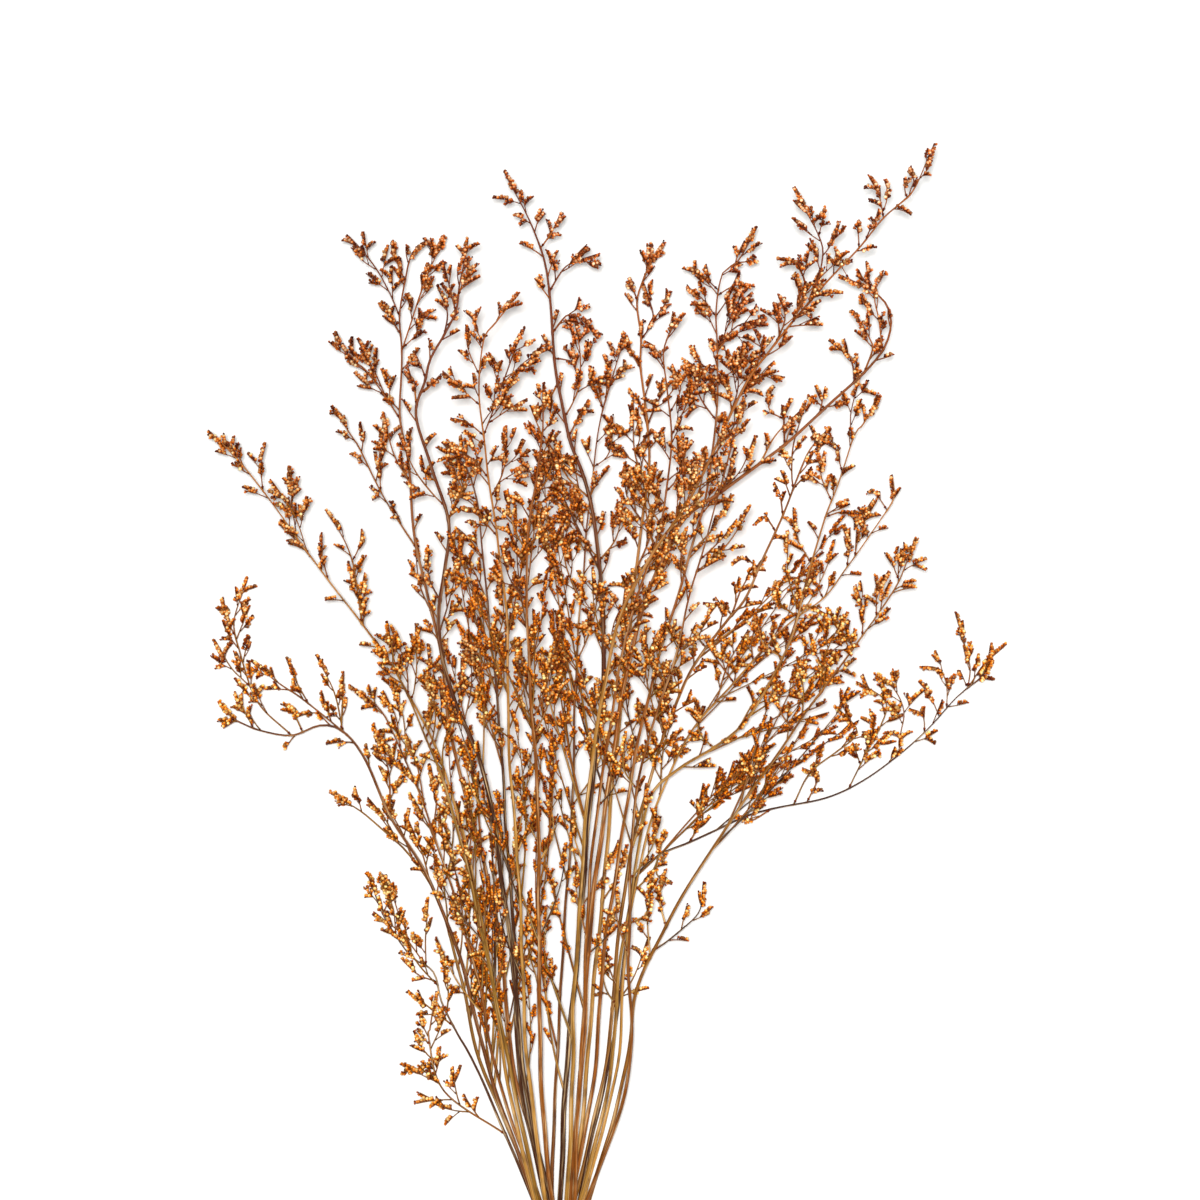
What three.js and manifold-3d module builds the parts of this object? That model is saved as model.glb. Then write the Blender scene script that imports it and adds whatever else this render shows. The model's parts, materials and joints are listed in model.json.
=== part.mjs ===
// Preserved caspia statice: a tied bunch of 24 branching stems, lying on its side on a flat surface.
// Millimetres, +Z up. The origin lies on the surface under the middle of the tie, and +Y runs along
// the stems to their tips. Every stem, with the forks and florets that grow from it, is one solid.
import * as THREE from "three";
import { mergeVertices } from "three/addons/utils/BufferGeometryUtils.js";
import Module from "manifold-3d";

const wasm = await Module();
wasm.setup();

// Driving dimensions
const CUT_END = -78; // how far the longest stems reach below the tie
const CUT_STEP = 2.5; // the cut ends differ by whole steps of this, CUT_LEVELS of them
const CUT_LEVELS = 5;
const CUT_SPREAD = 1.12; // the stems' spacing at their cut ends, as a share of that in the tie
const STEM_RADIUS = 1.55; // the thickest stem, in the tie
const STEM_PITCH = 3.75; // from stem to stem in the tie
const TIE_ROWS = [4, 5, 6, 5, 4]; // stems in each row of the tie, from the lowest row up
const TIE_WIDTH = 10;
const TIE_THICKNESS = 1.8;
const TIE_ARC_STEPS = 2; // straight sides to each rounded corner of the tie
const TIE_STRAIGHT = 10; // the stems run straight through the tie this far each way
const CLEAR = 0.35; // room between one stem's growth and the next
const RISE_LENGTH = 560; // a stem reaches its full height this far along
const TIP_RADIUS = 0.45;
const FLORET_CORE = 0.85; // radius of the fork among its florets
const FLORET_REACH = 3.9; // how far a floret stands out from that core
const REACH_MOST = FLORET_CORE + FLORET_REACH;
const FLORET_LEAD = 3.6; // how far its tip leans forward
const FLORET_STEP = 6.6; // from floret to floret along a fork
const STEM_SIDES = 4;
const STEM_FLORETS = 6; // florets at the tip of a stem itself
const STEM_FLOWERING = 1.2; // they start this many plan points before its end
const FORK_FLORETS = [2, 6]; // fewest and most on a fork
const FORK_BARE = 12; // a fork's first stretch has no florets
const FLOWERING_MOST = 0.72; // the most of a fork that flowers
const FORK_LONG = 45; // a fork this long has one more bend in its bare stretch
const FORK_SHARE = 0.6; // most that a fork's radius is of its stem's
const FORK_RADIUS = 0.45; // radius of a very short fork
const FORK_RADIUS_GAIN = 0.007; // and how much a millimetre of length adds to it
const ROOT_SHARE = 0.45; // radius of a fork's root, inside its stem, as a share of the stem's
const FORK_SIDES = 3;
const OWN_CLEAR = 0.35; // forks of one stem keep this share of the room that other stems get
const FLOOR = REACH_MOST + 0.2; // the lowest height of a plan point
const STEM_TRIES = [0, 5, -5, 10, -10, 15, -15, 20, -20, 26, -26, 32, -32]; // added to height
const FORK_TRIES = [0.12, -0.12, 0.35, -0.35, 0.6, -0.6, 0.9, -0.9, 1.2, -1.2]; // rise per length
const SEED = 7919;

// The plan of the bunch, stem by stem. height is how high the stem's head lies above the surface and
// girth its thickness. Each line is x, y, x, y, and so on, seen from above: first the stem from just
// above the tie, then its forks, each of which starts from the nearest line before it.
const STEMS = [
  {
    name: "stem_left_arch", height: 30, girth: 0.9,
    lines: [
      [
        -42, 114, -60, 180, -80, 233, -103, 272, -120, 308, -133, 323, -146, 326, -163, 320,
        -182, 323, -198, 330, -207, 339,
      ],
      [-163, 320, -178, 331, -188, 350, -195, 372, -198, 390, -190, 414],
      [-128, 320, -152, 339, -170, 351, -187, 364],
      [-152, 339, -160, 352, -166, 365],
      [-133, 323, -132, 340, -131, 357],
      [-157, 322, -162, 334, -168, 338],
      [-186, 324, -192, 336, -196, 345],
      [-188, 350, -199, 360, -209, 377],
      [-197, 380, -202, 390, -204, 402],
    ],
  },
  {
    name: "stem_left_long", height: 75, girth: 0.95,
    lines: [
      [
        -33, 114, -42, 180, -56, 250, -76, 315, -97, 356, -119, 388, -140, 414, -155, 434,
        -170, 456, -190, 482, -209, 503,
      ],
      [-119, 388, -122, 408, -125, 425, -131, 440, -141, 455],
      [-125, 425, -121, 434, -120, 443],
      [-119, 388, -120, 403, -118, 417],
      [-140, 414, -143, 428, -143, 441],
      [-158, 438, -161, 460, -162, 481],
      [-160, 450, -156, 455, -153, 460],
      [-178, 468, -180, 482, -177, 495],
      [-150, 426, -158, 437, -168, 446],
      [-190, 482, -196, 490, -196, 499],
    ],
  },
  {
    name: "stem_lower_left_fan", height: 5, girth: 0.9,
    lines: [
      [-46, 114, -60, 172, -76, 222, -92, 247, -108, 262, -122, 274, -139, 284],
      [-100, 255, -106, 268, -116, 281],
      [-88, 243, -97, 262, -108, 280],
      [-78, 226, -84, 248, -92, 268],
      [-66, 196, -70, 222, -75, 246],
    ],
  },
  {
    name: "stem_left_shoulder", height: 48, girth: 0.9,
    lines: [
      [-38, 114, -50, 170, -66, 230, -82, 276, -97, 312, -109, 335, -126, 350],
      [-82, 276, -86, 300, -92, 320],
      [-97, 312, -99, 330, -106, 346],
      [-58, 202, -62, 232, -70, 256],
      [-72, 248, -80, 266, -90, 284],
      [-88, 288, -100, 304, -110, 319],
    ],
  },
  {
    name: "stem_left_cluster", height: 104, girth: 1,
    lines: [
      [-30, 114, -42, 180, -56, 240, -70, 292, -85, 332, -97, 358, -103, 388],
      [-88, 340, -86, 362, -87, 386],
      [-97, 358, -104, 368, -110, 378],
      [-79, 316, -77, 345, -80, 374],
      [-70, 292, -70, 315, -62, 336],
      [-60, 256, -66, 280, -72, 300],
      [-48, 206, -52, 232, -58, 256],
    ],
  },
  {
    name: "stem_top_left", height: 62, girth: 1,
    lines: [
      [
        -27, 114, -36, 190, -50, 260, -66, 320, -74, 380, -86, 433, -92, 485, -97, 515,
        -95, 552, -96, 576, -90, 608, -82, 617,
      ],
      [-86, 433, -103, 458, -116, 485, -127, 503, -137, 517],
      [-107, 467, -109, 488, -105, 507],
      [-97, 512, -115, 538, -127, 548, -136, 561],
      [-104, 523, -112, 540, -122, 558],
      [-96, 574, -108, 597, -118, 611, -127, 621],
      [-95, 552, -88, 575, -80, 598, -70, 620],
      [-94, 553, -87, 562, -84, 574],
      [-76, 392, -85, 412, -88, 438],
      [-96, 562, -102, 572, -107, 580],
      [-94, 592, -98, 605, -100, 617],
    ],
  },
  {
    name: "stem_top_left_second", height: 122, girth: 0.95,
    lines: [
      [
        -22, 114, -30, 200, -44, 290, -62, 340, -72, 382, -69, 420, -67, 450, -77, 482,
        -85, 512, -80, 532, -77, 546, -69, 560, -62, 574, -60, 592, -55, 616,
      ],
      [-67, 450, -58, 468, -50, 486],
      [-69, 560, -67, 574, -73, 588],
      [-61, 582, -56, 594, -49, 601],
      [-80, 534, -85, 547],
      [-84, 518, -90, 540],
      [-82, 524, -72, 536],
      [-62, 574, -66, 590, -69, 603],
      [-72, 382, -66, 402, -60, 425],
      [-70, 400, -78, 415, -78, 433],
    ],
  },
  {
    name: "stem_centre_left", height: 150, girth: 1,
    lines: [
      [
        -19, 114, -22, 180, -26, 250, -30, 320, -32, 390, -37, 440, -43, 485, -48, 522,
        -46, 555, -38, 567, -24, 583,
      ],
      [-47, 516, -58, 527, -68, 537],
      [-44, 498, -54, 507, -63, 510],
      [-40, 500, -34, 530, -26, 552, -21, 562],
      [-34, 530, -20, 544, -6, 551],
      [-38, 505, -29, 516, -21, 521],
      [-48, 536, -54, 550, -56, 564],
      [-46, 555, -50, 565, -47, 574],
      [-41, 472, -52, 486, -67, 494],
      [-37, 440, -48, 452, -58, 456],
    ],
  },
  {
    name: "stem_tall_centre", height: 94, girth: 1,
    lines: [
      [
        4, 114, 9, 180, 15, 240, 20, 300, 26, 360, 26, 400, 22, 440, 14, 475,
        5, 500, -1, 532, -4, 562, -8, 600, -18, 627, -33, 657,
      ],
      [-10, 611, -5, 622, 0, 633],
      [-6, 586, 4, 602, 22, 609],
      [-4, 562, 5, 573, 14, 569, 21, 560],
      [-3, 548, 8, 545],
      [-1, 532, -8, 519, -13, 512],
      [3, 512, 11, 528, 12, 550, 8, 572],
      [5, 500, 12, 513, 16, 521],
      [14, 475, 2, 484, -2, 498],
      [24, 425, 34, 440, 38, 460],
    ],
  },
  {
    name: "stem_centre_tips", height: 66, girth: 0.9,
    lines: [
      [-3, 114, 2, 190, 6, 260, 9, 330, 12, 400, 17, 455, 24, 505, 29, 528, 39, 561],
      [30, 530, 37, 539, 43, 541],
      [26, 514, 21, 528, 19, 541],
      [27, 522, 29, 538, 26, 548],
      [12, 400, 3, 425, 2, 448],
      [15, 440, 10, 456, 8, 469],
      [20, 480, 30, 492, 32, 512],
      [10, 350, 2, 372, 0, 395],
    ],
  },
  {
    name: "stem_slim_top", height: 38, girth: 0.9,
    lines: [
      [
        16, 114, 22, 190, 30, 270, 38, 350, 46, 420, 53, 475, 52, 512, 48, 542,
        49, 562, 47, 583, 53, 602, 62, 618,
      ],
      [48, 542, 43, 552, 39, 563],
      [49, 560, 56, 571, 54, 583, 51, 593],
      [56, 571, 62, 579, 67, 587],
      [47, 583, 41, 595],
      [51, 597, 54, 608, 54, 617],
      [52, 512, 43, 529],
      [53, 508, 60, 524, 67, 533],
      [50, 448, 40, 466, 40, 484],
      [46, 420, 54, 440, 56, 458],
    ],
  },
  {
    name: "stem_slim_top_right", height: 130, girth: 0.9,
    lines: [
      [12, 114, 16, 200, 24, 290, 40, 380, 58, 440, 66, 490, 65, 525, 62, 548, 66, 562, 74, 571],
      [63, 540, 57, 552, 52, 556],
      [66, 500, 74, 515, 80, 530],
      [66, 512, 72, 528, 68, 541],
      [60, 448, 52, 462, 44, 478],
      [62, 462, 72, 478, 74, 500],
      [46, 400, 58, 414, 66, 428],
    ],
  },
  {
    name: "stem_upper_right", height: 88, girth: 1,
    lines: [
      [
        20, 114, 28, 200, 42, 290, 60, 370, 78, 430, 90, 475, 94, 520, 94, 550,
        93, 575, 98, 598, 107, 605, 118, 624,
      ],
      [106, 604, 117, 606],
      [97, 583, 105, 591, 113, 589],
      [93, 572, 86, 582, 78, 589],
      [95, 588, 86, 596, 75, 600],
      [94, 552, 106, 566, 121, 571],
      [96, 556, 105, 576, 114, 586],
      [94, 540, 84, 544, 81, 553],
      [93, 508, 83, 526, 79, 542],
      [91, 488, 104, 506, 110, 520],
      [84, 450, 98, 470, 104, 492],
    ],
  },
  {
    name: "stem_far_right_tip", height: 142, girth: 1,
    lines: [
      [
        8, 114, 8, 163, 13, 235, 21, 320, 34, 385, 53, 425, 73, 455, 92, 492,
        110, 530, 127, 552, 142, 571, 158, 590, 178, 611, 192, 629, 209, 645, 222, 672,
      ],
      [192, 629, 190, 642, 184, 653],
      [191, 632, 195, 642, 193, 650],
      [178, 611, 177, 626],
      [182, 616, 187, 628],
      [205, 641, 204, 651],
      [211, 648, 209, 658],
      [140, 569, 146, 588, 141, 601, 131, 604],
      [150, 582, 156, 603, 154, 618, 139, 645],
      [154, 618, 158, 634],
      [130, 555, 134, 570, 130, 582],
      [138, 566, 148, 578, 156, 587],
      [122, 546, 116, 561],
      [114, 534, 124, 536, 132, 535],
      [100, 508, 106, 528, 104, 548],
      [62, 440, 76, 462, 80, 482],
    ],
  },
  {
    name: "stem_arched", height: 114, girth: 0.95,
    lines: [
      [
        12, 114, 18, 200, 30, 300, 48, 390, 70, 445, 97, 467, 120, 484, 140, 499,
        165, 522, 182, 538, 194, 553, 198, 568, 194, 580, 184, 588, 168, 596,
      ],
      [136, 496, 134, 510, 139, 521],
      [134, 510, 125, 516, 127, 528],
      [155, 513, 158, 528],
      [181, 537, 187, 552, 183, 563, 177, 574],
      [175, 531, 174, 546, 162, 556],
      [192, 550, 191, 568, 188, 584, 193, 597],
      [186, 587, 183, 603],
      [172, 594, 164, 611],
      [160, 518, 150, 524],
      [76, 450, 84, 470, 88, 492],
    ],
  },
  {
    name: "stem_right_column", height: 72, girth: 1,
    lines: [
      [
        30, 114, 36, 180, 45, 240, 54, 282, 72, 300, 93, 313, 110, 327, 125, 350,
        138, 378, 146, 405, 153, 430, 160, 452, 168, 472, 176, 500, 182, 508, 191, 524,
      ],
      [175, 497, 175, 515, 181, 537],
      [160, 451, 171, 455, 181, 446],
      [151, 424, 142, 440, 140, 456],
      [149, 416, 136, 413, 126, 407],
      [146, 405, 152, 414],
      [165, 463, 157, 476, 158, 490],
      [142, 391, 132, 400, 130, 412],
      [170, 480, 163, 498, 152, 500],
      [132, 366, 122, 376, 118, 392],
      [92, 312, 84, 322, 82, 340],
    ],
  },
  {
    name: "stem_right_inner", height: 12, girth: 0.9,
    lines: [
      [
        27, 114, 34, 190, 48, 270, 72, 345, 98, 385, 112, 402, 122, 424, 133, 450,
        143, 475, 151, 493, 162, 506,
      ],
      [121, 422, 112, 427, 106, 424],
      [130, 443, 124, 453, 118, 449],
      [134, 453, 134, 463, 131, 472],
      [104, 391, 97, 400, 90, 392],
      [140, 468, 150, 478, 156, 476],
      [86, 368, 84, 380, 90, 390],
      [62, 315, 60, 334, 66, 352],
    ],
  },
  {
    name: "stem_right_outer_upper", height: 52, girth: 0.9,
    lines: [
      [
        33, 114, 40, 190, 52, 260, 75, 315, 105, 352, 135, 385, 158, 403, 171, 420,
        181, 433, 193, 450, 201, 463, 201, 476,
      ],
      [186, 440, 183, 452, 188, 462],
      [172, 421, 174, 434, 170, 446],
      [196, 455, 191, 466, 186, 466],
      [158, 403, 154, 414, 153, 424],
      [140, 388, 148, 398, 160, 394],
      [105, 352, 96, 364, 88, 376],
      [118, 366, 116, 380, 124, 392],
    ],
  },
  {
    name: "stem_right_outer", height: 86, girth: 0.95,
    lines: [
      [
        39, 114, 46, 165, 63, 205, 85, 242, 108, 276, 128, 305, 148, 335, 174, 371,
        190, 392, 203, 412, 213, 438,
      ],
      [174, 371, 168, 384, 160, 396],
      [180, 379, 182, 395, 178, 410],
      [190, 392, 190, 406, 196, 418],
      [204, 414, 200, 424, 205, 432],
      [150, 338, 160, 352, 156, 366],
      [140, 322, 132, 336, 130, 354],
      [146, 332, 146, 350, 142, 366],
      [122, 296, 112, 302, 106, 304],
      [114, 285, 118, 296, 122, 312],
      [63, 205, 60, 222, 64, 238],
      [56, 190, 72, 202, 84, 214, 86, 230],
    ],
  },
  {
    name: "stem_far_right_low", height: 5, girth: 0.95,
    lines: [
      [
        28, 114, 35, 160, 41, 200, 46, 232, 60, 247, 78, 255, 95, 263, 112, 271,
        130, 276, 160, 282, 182, 292, 203, 307, 222, 324, 240, 343, 255, 355, 261, 365,
      ],
      [233, 336, 234, 348, 230, 360, 219, 362],
      [246, 348, 248, 361, 244, 377, 239, 393],
      [246, 349, 243, 358],
      [204, 308, 206, 318, 197, 321],
      [174, 289, 183, 305, 192, 322, 197, 340, 181, 352],
      [221, 322, 220, 332, 213, 336],
      [205, 318, 208, 334, 202, 348, 191, 356],
      [140, 278, 151, 297, 166, 309, 180, 322, 168, 337],
      [182, 303, 178, 314],
      [150, 280, 156, 294, 148, 300],
      [128, 275, 116, 268, 120, 282],
      [60, 247, 58, 236, 66, 230],
      [78, 255, 86, 268, 84, 280],
      [228, 330, 224, 344, 218, 351],
    ],
  },
  {
    name: "stem_lower_left_sprig", height: 9, girth: 0.85,
    lines: [
      [-50, 114, -62, 138, -72, 158, -77, 176, -90, 185, -101, 200, -109, 213, -118, 235],
      [-34, 70, -58, 92, -77, 112, -80, 132, -78, 150, -76, 163],
      [-79, 120, -88, 116, -96, 119],
      [-80, 130, -87, 141],
      [-80, 181, -82, 198, -80, 220],
      [-92, 187, -94, 200, -98, 213],
      [-108, 211, -102, 225],
      [-65, 144, -78, 153, -91, 164],
      [-76, 170, -86, 174, -96, 183],
    ],
  },
  {
    name: "stem_left_middle", height: 136, girth: 1,
    lines: [
      [-24, 114, -28, 200, -33, 280, -38, 340, -43, 400, -48, 450, -56, 480, -70, 495],
      [-43, 402, -52, 420, -62, 430],
      [-45, 422, -53, 437, -61, 445],
      [-50, 460, -60, 468, -63, 479],
      [-38, 345, -48, 368, -58, 382],
      [-35, 310, -45, 330, -48, 350],
      [-30, 240, -38, 262, -42, 284],
      [-40, 370, -34, 392, -36, 412],
    ],
  },
  {
    name: "stem_middle", height: 164, girth: 1,
    lines: [
      [-12, 114, -12, 200, -14, 290, -18, 370, -20, 430, -13, 478, -9, 505, -10, 529],
      [-19, 405, -16, 436, -13, 459],
      [-20, 430, -28, 448, -30, 466],
      [-10, 500, -2, 488, 1, 476],
      [-16, 455, -6, 462, 1, 458],
      [-16, 340, -24, 360, -24, 378],
      [-15, 320, -6, 345, -10, 372],
      [-13, 240, -4, 262, -6, 284],
      [-12, 170, -20, 196, -20, 216],
    ],
  },
  {
    name: "stem_inner_right", height: 154, girth: 0.95,
    lines: [
      [41, 114, 41, 190, 43, 260, 52, 315, 66, 360, 76, 400, 85, 430, 95, 465, 102, 495, 110, 522],
      [66, 362, 76, 376, 88, 379],
      [84, 428, 96, 438, 104, 449],
      [64, 352, 58, 370, 62, 386],
      [95, 465, 108, 480, 115, 498],
      [42, 205, 52, 214, 54, 226],
      [42, 235, 56, 256, 58, 276],
      [46, 285, 38, 302, 40, 322],
      [78, 408, 72, 426, 76, 444],
    ],
  },
];

// Side shoots by rule, between the plan's forks: more of them where the plan gives a stem few forks
const LINES_AND_SHOOTS = 14;
const SHOOTS = [1, 5]; // fewest and most to a stem
const SHOOT_FROM = 150; // lowest and highest place of a shoot along the bunch
const SHOOT_TO = 500;
const SHOOT_LENGTH = [34, 58];
const SHOOT_ANGLE = [0.3, 0.55]; // radians away from the stem
const SHOOT_BEND = 0.25; // radians back towards it, half-way up
const LEANING = 0.3; // a stem that leans more than this has its shoots on its upper side

const vec = (x, y, z) => new THREE.Vector3(x, y, z);

// The same numbers between 0 and 1 on every run
function drawsFrom(seed) {
  let state = seed;
  return () => {
    state = (Math.imul(state, 1664525) + 1013904223) >>> 0;
    return state / 4294967296;
  };
}

const between = ([low, high], draw) => low + (high - low) * draw();

// A point on the smooth line through the given points; station 2.5 is halfway between points 2 and 3
function pointAt(points, station) {
  const k = Math.min(Math.floor(station), points.length - 2);
  const t = station - k;
  const a = points[k];
  const b = points[k + 1];
  const before = k > 0 ? points[k - 1] : a.clone().multiplyScalar(2).sub(b);
  const after = points[k + 2] ?? b.clone().multiplyScalar(2).sub(a);
  const axis = (p0, p1, p2, p3) => {
    const v0 = (p2 - p0) / 2;
    const v1 = (p3 - p1) / 2;
    return ((2 * p1 - 2 * p2 + v0 + v1) * t + (3 * p2 - 3 * p1 - 2 * v0 - v1)) * t * t + v0 * t + p1;
  };
  return vec(
    axis(before.x, a.x, b.x, after.x),
    axis(before.y, a.y, b.y, after.y),
    axis(before.z, a.z, b.z, after.z),
  );
}

// Shortest distance between the segments p to q and r to s
function segmentGap(p, q, r, s) {
  const d1 = q.clone().sub(p);
  const d2 = s.clone().sub(r);
  const w = p.clone().sub(r);
  const a = d1.dot(d1);
  const e = d2.dot(d2);
  const f = d2.dot(w);
  const b = d1.dot(d2);
  const c = d1.dot(w);
  const clamp = (v) => Math.min(Math.max(v, 0), 1);
  const spread = a * e - b * b;
  let t1 = spread > 1e-9 ? clamp((b * f - c * e) / spread) : 0;
  let t2 = (b * t1 + f) / e;
  if (t2 < 0) {
    t2 = 0;
    t1 = clamp(-c / a);
  } else if (t2 > 1) {
    t2 = 1;
    t1 = clamp((b - c) / a);
  }
  return w.addScaledVector(d1, t1).addScaledVector(d2, -t2).length();
}

// What has been placed, in a grid of boxes, so that only near pieces are compared
const CELL = 20;
const cells = new Map();

function cellsAround(p, q, room) {
  const keys = [];
  const low = (axis) => Math.floor((Math.min(p[axis], q[axis]) - room) / CELL);
  const high = (axis) => Math.floor((Math.max(p[axis], q[axis]) + room) / CELL);
  for (let i = low("x"); i <= high("x"); i++)
    for (let j = low("y"); j <= high("y"); j++)
      for (let k = low("z"); k <= high("z"); k++) keys.push(`${i} ${j} ${k}`);
  return keys;
}

// Whether a strand keeps its room from all that has been placed, and from its own stem's less
function isClear(strand) {
  const { points, room, stem } = strand;
  for (let i = 0; i + 1 < points.length; i++) {
    const own = Math.max(room[i], room[i + 1]);
    for (const key of cellsAround(points[i], points[i + 1], own + REACH_MOST + CLEAR))
      for (const other of cells.get(key) ?? []) {
        if (other.stem === stem && i === 0) continue;
        const share = other.stem === stem ? OWN_CLEAR : 1;
        const least = (own + other.room) * share + CLEAR;
        if (segmentGap(points[i], points[i + 1], other.p, other.q) < least) return false;
      }
  }
  return true;
}

function place(strand) {
  const { points, room, stem } = strand;
  for (let i = 0; i + 1 < points.length; i++) {
    const piece = { p: points[i], q: points[i + 1], room: Math.max(room[i], room[i + 1]), stem };
    for (const key of cellsAround(piece.p, piece.q, 0)) {
      if (!cells.has(key)) cells.set(key, []);
      cells.get(key).push(piece);
    }
  }
}

// Stems in the order of their height fill the tie's rows from the bottom, each row from left to right
function tieSlots() {
  const order = STEMS.map((stem, index) => ({ index, height: stem.height, x: stem.lines[0][0] }));
  order.sort((a, b) => a.height - b.height);
  const slots = [];
  let next = 0;
  TIE_ROWS.forEach((count, row) => {
    const members = order.slice(next, next + count).sort((a, b) => a.x - b.x);
    next += count;
    members.forEach(({ index }, column) => {
      slots[index] = vec(
        (column - (count - 1) / 2) * STEM_PITCH,
        0,
        TIE_THICKNESS + CLEAR + STEM_RADIUS + row * STEM_PITCH * Math.sin(Math.PI / 3),
      );
    });
  });
  return slots;
}

// Above the tie a stem climbs from its slot to the height of its head, and never into the surface
function climb(slotHeight, headHeight, travelled) {
  const share = Math.min(travelled / RISE_LENGTH, 1);
  return Math.max(slotHeight + (headHeight - slotHeight) * Math.sin((share * Math.PI) / 2), FLOOR);
}

// A stem at its slot in the tie, its head raised by so much over the plan's height
function stemStrand(index, slot, raise) {
  const { lines, height, girth } = STEMS[index];
  const line = lines[0];
  const controls = [
    vec(slot.x * CUT_SPREAD, CUT_END + (index % CUT_LEVELS) * CUT_STEP, slot.z),
    vec(slot.x, -TIE_STRAIGHT, slot.z),
    vec(slot.x, TIE_STRAIGHT, slot.z),
  ];
  let travelled = 0;
  for (let i = 0; i < line.length; i += 2) {
    const last = controls[controls.length - 1];
    travelled += Math.hypot(line[i] - last.x, line[i + 1] - last.y);
    controls.push(vec(line[i], line[i + 1], climb(slot.z, height + raise, travelled)));
  }
  const end = controls.length - 1;
  const bare = end - STEM_FLOWERING;
  const stations = [];
  for (let k = 0; k < bare; k++) stations.push(k);
  const florets = STEM_FLORETS;
  for (let k = 0; k < florets; k++) stations.push(bare + ((end - bare) * k) / florets);
  stations.push(end);
  return strandOf({
    controls, stations, florets, stem: index,
    root: STEM_RADIUS * girth, sides: STEM_SIDES, face: vec(0, 0, 1), even: 2,
  });
}

// The points, radii and floret rings of one stem or fork, which tapers after its first even points
function strandOf({ controls, stations, florets, stem, root, sides, face, even = 0 }) {
  const points = stations.map((station) => pointAt(controls, station));
  const first = points.length - 1 - florets;
  const run = [0];
  for (let i = 1; i < points.length; i++) {
    const step = i > even ? points[i].distanceTo(points[i - 1]) : 0;
    run.push(run[i - 1] + step);
  }
  const radii = points.map((_, i) => {
    if (i >= first) return i === points.length - 1 ? 0 : FLORET_CORE;
    return root + (TIP_RADIUS - root) * (run[i] / run[first]);
  });
  const room = points.map((_, i) => (i >= first ? REACH_MOST : radii[i]));
  for (let i = 0; i < points.length; i++) points[i].z = Math.max(points[i].z, room[i]);
  return { points, radii, room, first, sides, face, stem };
}

// The point of the lines so far that lies nearest to x, y, seen from above
function nearestRoot(strands, x, y) {
  let best = { gap: Infinity };
  for (const strand of strands)
    strand.points.forEach((point, i) => {
      if (i + 1 === strand.points.length) return;
      const next = strand.points[i + 1];
      for (let t = 0; t < 1; t += 0.125) {
        const gap = Math.hypot(
          point.x + (next.x - point.x) * t - x,
          point.y + (next.y - point.y) * t - y,
        );
        if (gap < best.gap - 1e-6)
          best = {
            gap,
            at: point.clone().lerp(next, t),
            radius: strand.radii[i] + (strand.radii[i + 1] - strand.radii[i]) * t,
          };
      }
    });
  return best;
}

// A fork along a plan line, which rises by slope for each millimetre; turn is where its florets start
function forkStrand(stem, root, line, slope, turn) {
  const controls = [root.at];
  let travelled = 0;
  for (let i = 2; i < line.length; i += 2) {
    const last = controls[controls.length - 1];
    travelled += Math.hypot(line[i] - last.x, line[i + 1] - last.y);
    controls.push(vec(line[i], line[i + 1], Math.max(root.at.z + slope * travelled, FLOOR)));
  }
  const end = controls.length - 1;
  const [fewest, most] = FORK_FLORETS;
  const flowering = travelled - FORK_BARE;
  const florets = Math.max(fewest, Math.min(most, Math.round(flowering / FLORET_STEP)));
  const bare = end * (1 - Math.min((florets * FLORET_STEP) / travelled, FLOWERING_MOST));
  const stations = [0];
  if (travelled > FORK_LONG) stations.push(bare / 2);
  for (let k = 0; k < florets; k++) stations.push(bare + ((end - bare) * k) / florets);
  stations.push(end);
  const along = controls[end].clone().sub(controls[0]).normalize();
  const face = vec(Math.sin(turn), 0, Math.cos(turn));
  face.addScaledVector(along, -face.dot(along)).normalize();
  const radius = Math.min(root.radius * FORK_SHARE, FORK_RADIUS + travelled * FORK_RADIUS_GAIN);
  const strand = strandOf({
    controls, stations, florets, stem, root: Math.max(radius, TIP_RADIUS), sides: FORK_SIDES, face,
  });
  strand.radii[0] = root.radius * ROOT_SHARE;
  return strand;
}

// Places a fork at the first slope that keeps it clear of the other stems; one with no room is left out
function growFork(strands, stem, line, draw) {
  const root = nearestRoot(strands, line[0], line[1]);
  const side = draw() < 0.5 ? -1 : 1;
  const turn = draw() * Math.PI * 2;
  for (const slope of FORK_TRIES) {
    const strand = forkStrand(stem, root, line, slope * side, turn);
    if (isClear(strand)) {
      place(strand);
      strands.push(strand);
      return;
    }
  }
}

// A side shoot that no plan line gives: it leaves the stem at a small angle and bends back along it
function shootLine(strand, share, turn, draw) {
  const top = Math.min(SHOOT_TO, strand.points[strand.first].y);
  const target = SHOOT_FROM + (top - SHOOT_FROM) * share;
  const i = strand.points.findIndex((p) => p.y > target);
  const before = strand.points[i - 1];
  const ahead = strand.points[i].clone().sub(before);
  const at = before.clone().addScaledVector(ahead, (target - before.y) / ahead.y);
  const lean = ahead.x / ahead.length();
  const side = Math.abs(lean) > LEANING ? Math.sign(lean) : turn;
  const half = between(SHOOT_LENGTH, draw) / 2;
  const angle = Math.atan2(ahead.y, ahead.x) + side * between(SHOOT_ANGLE, draw);
  const bent = angle - side * SHOOT_BEND;
  const mid = [at.x + Math.cos(angle) * half, at.y + Math.sin(angle) * half];
  return [at.x, at.y, ...mid, mid[0] + Math.cos(bent) * half, mid[1] + Math.sin(bent) * half];
}

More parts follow.
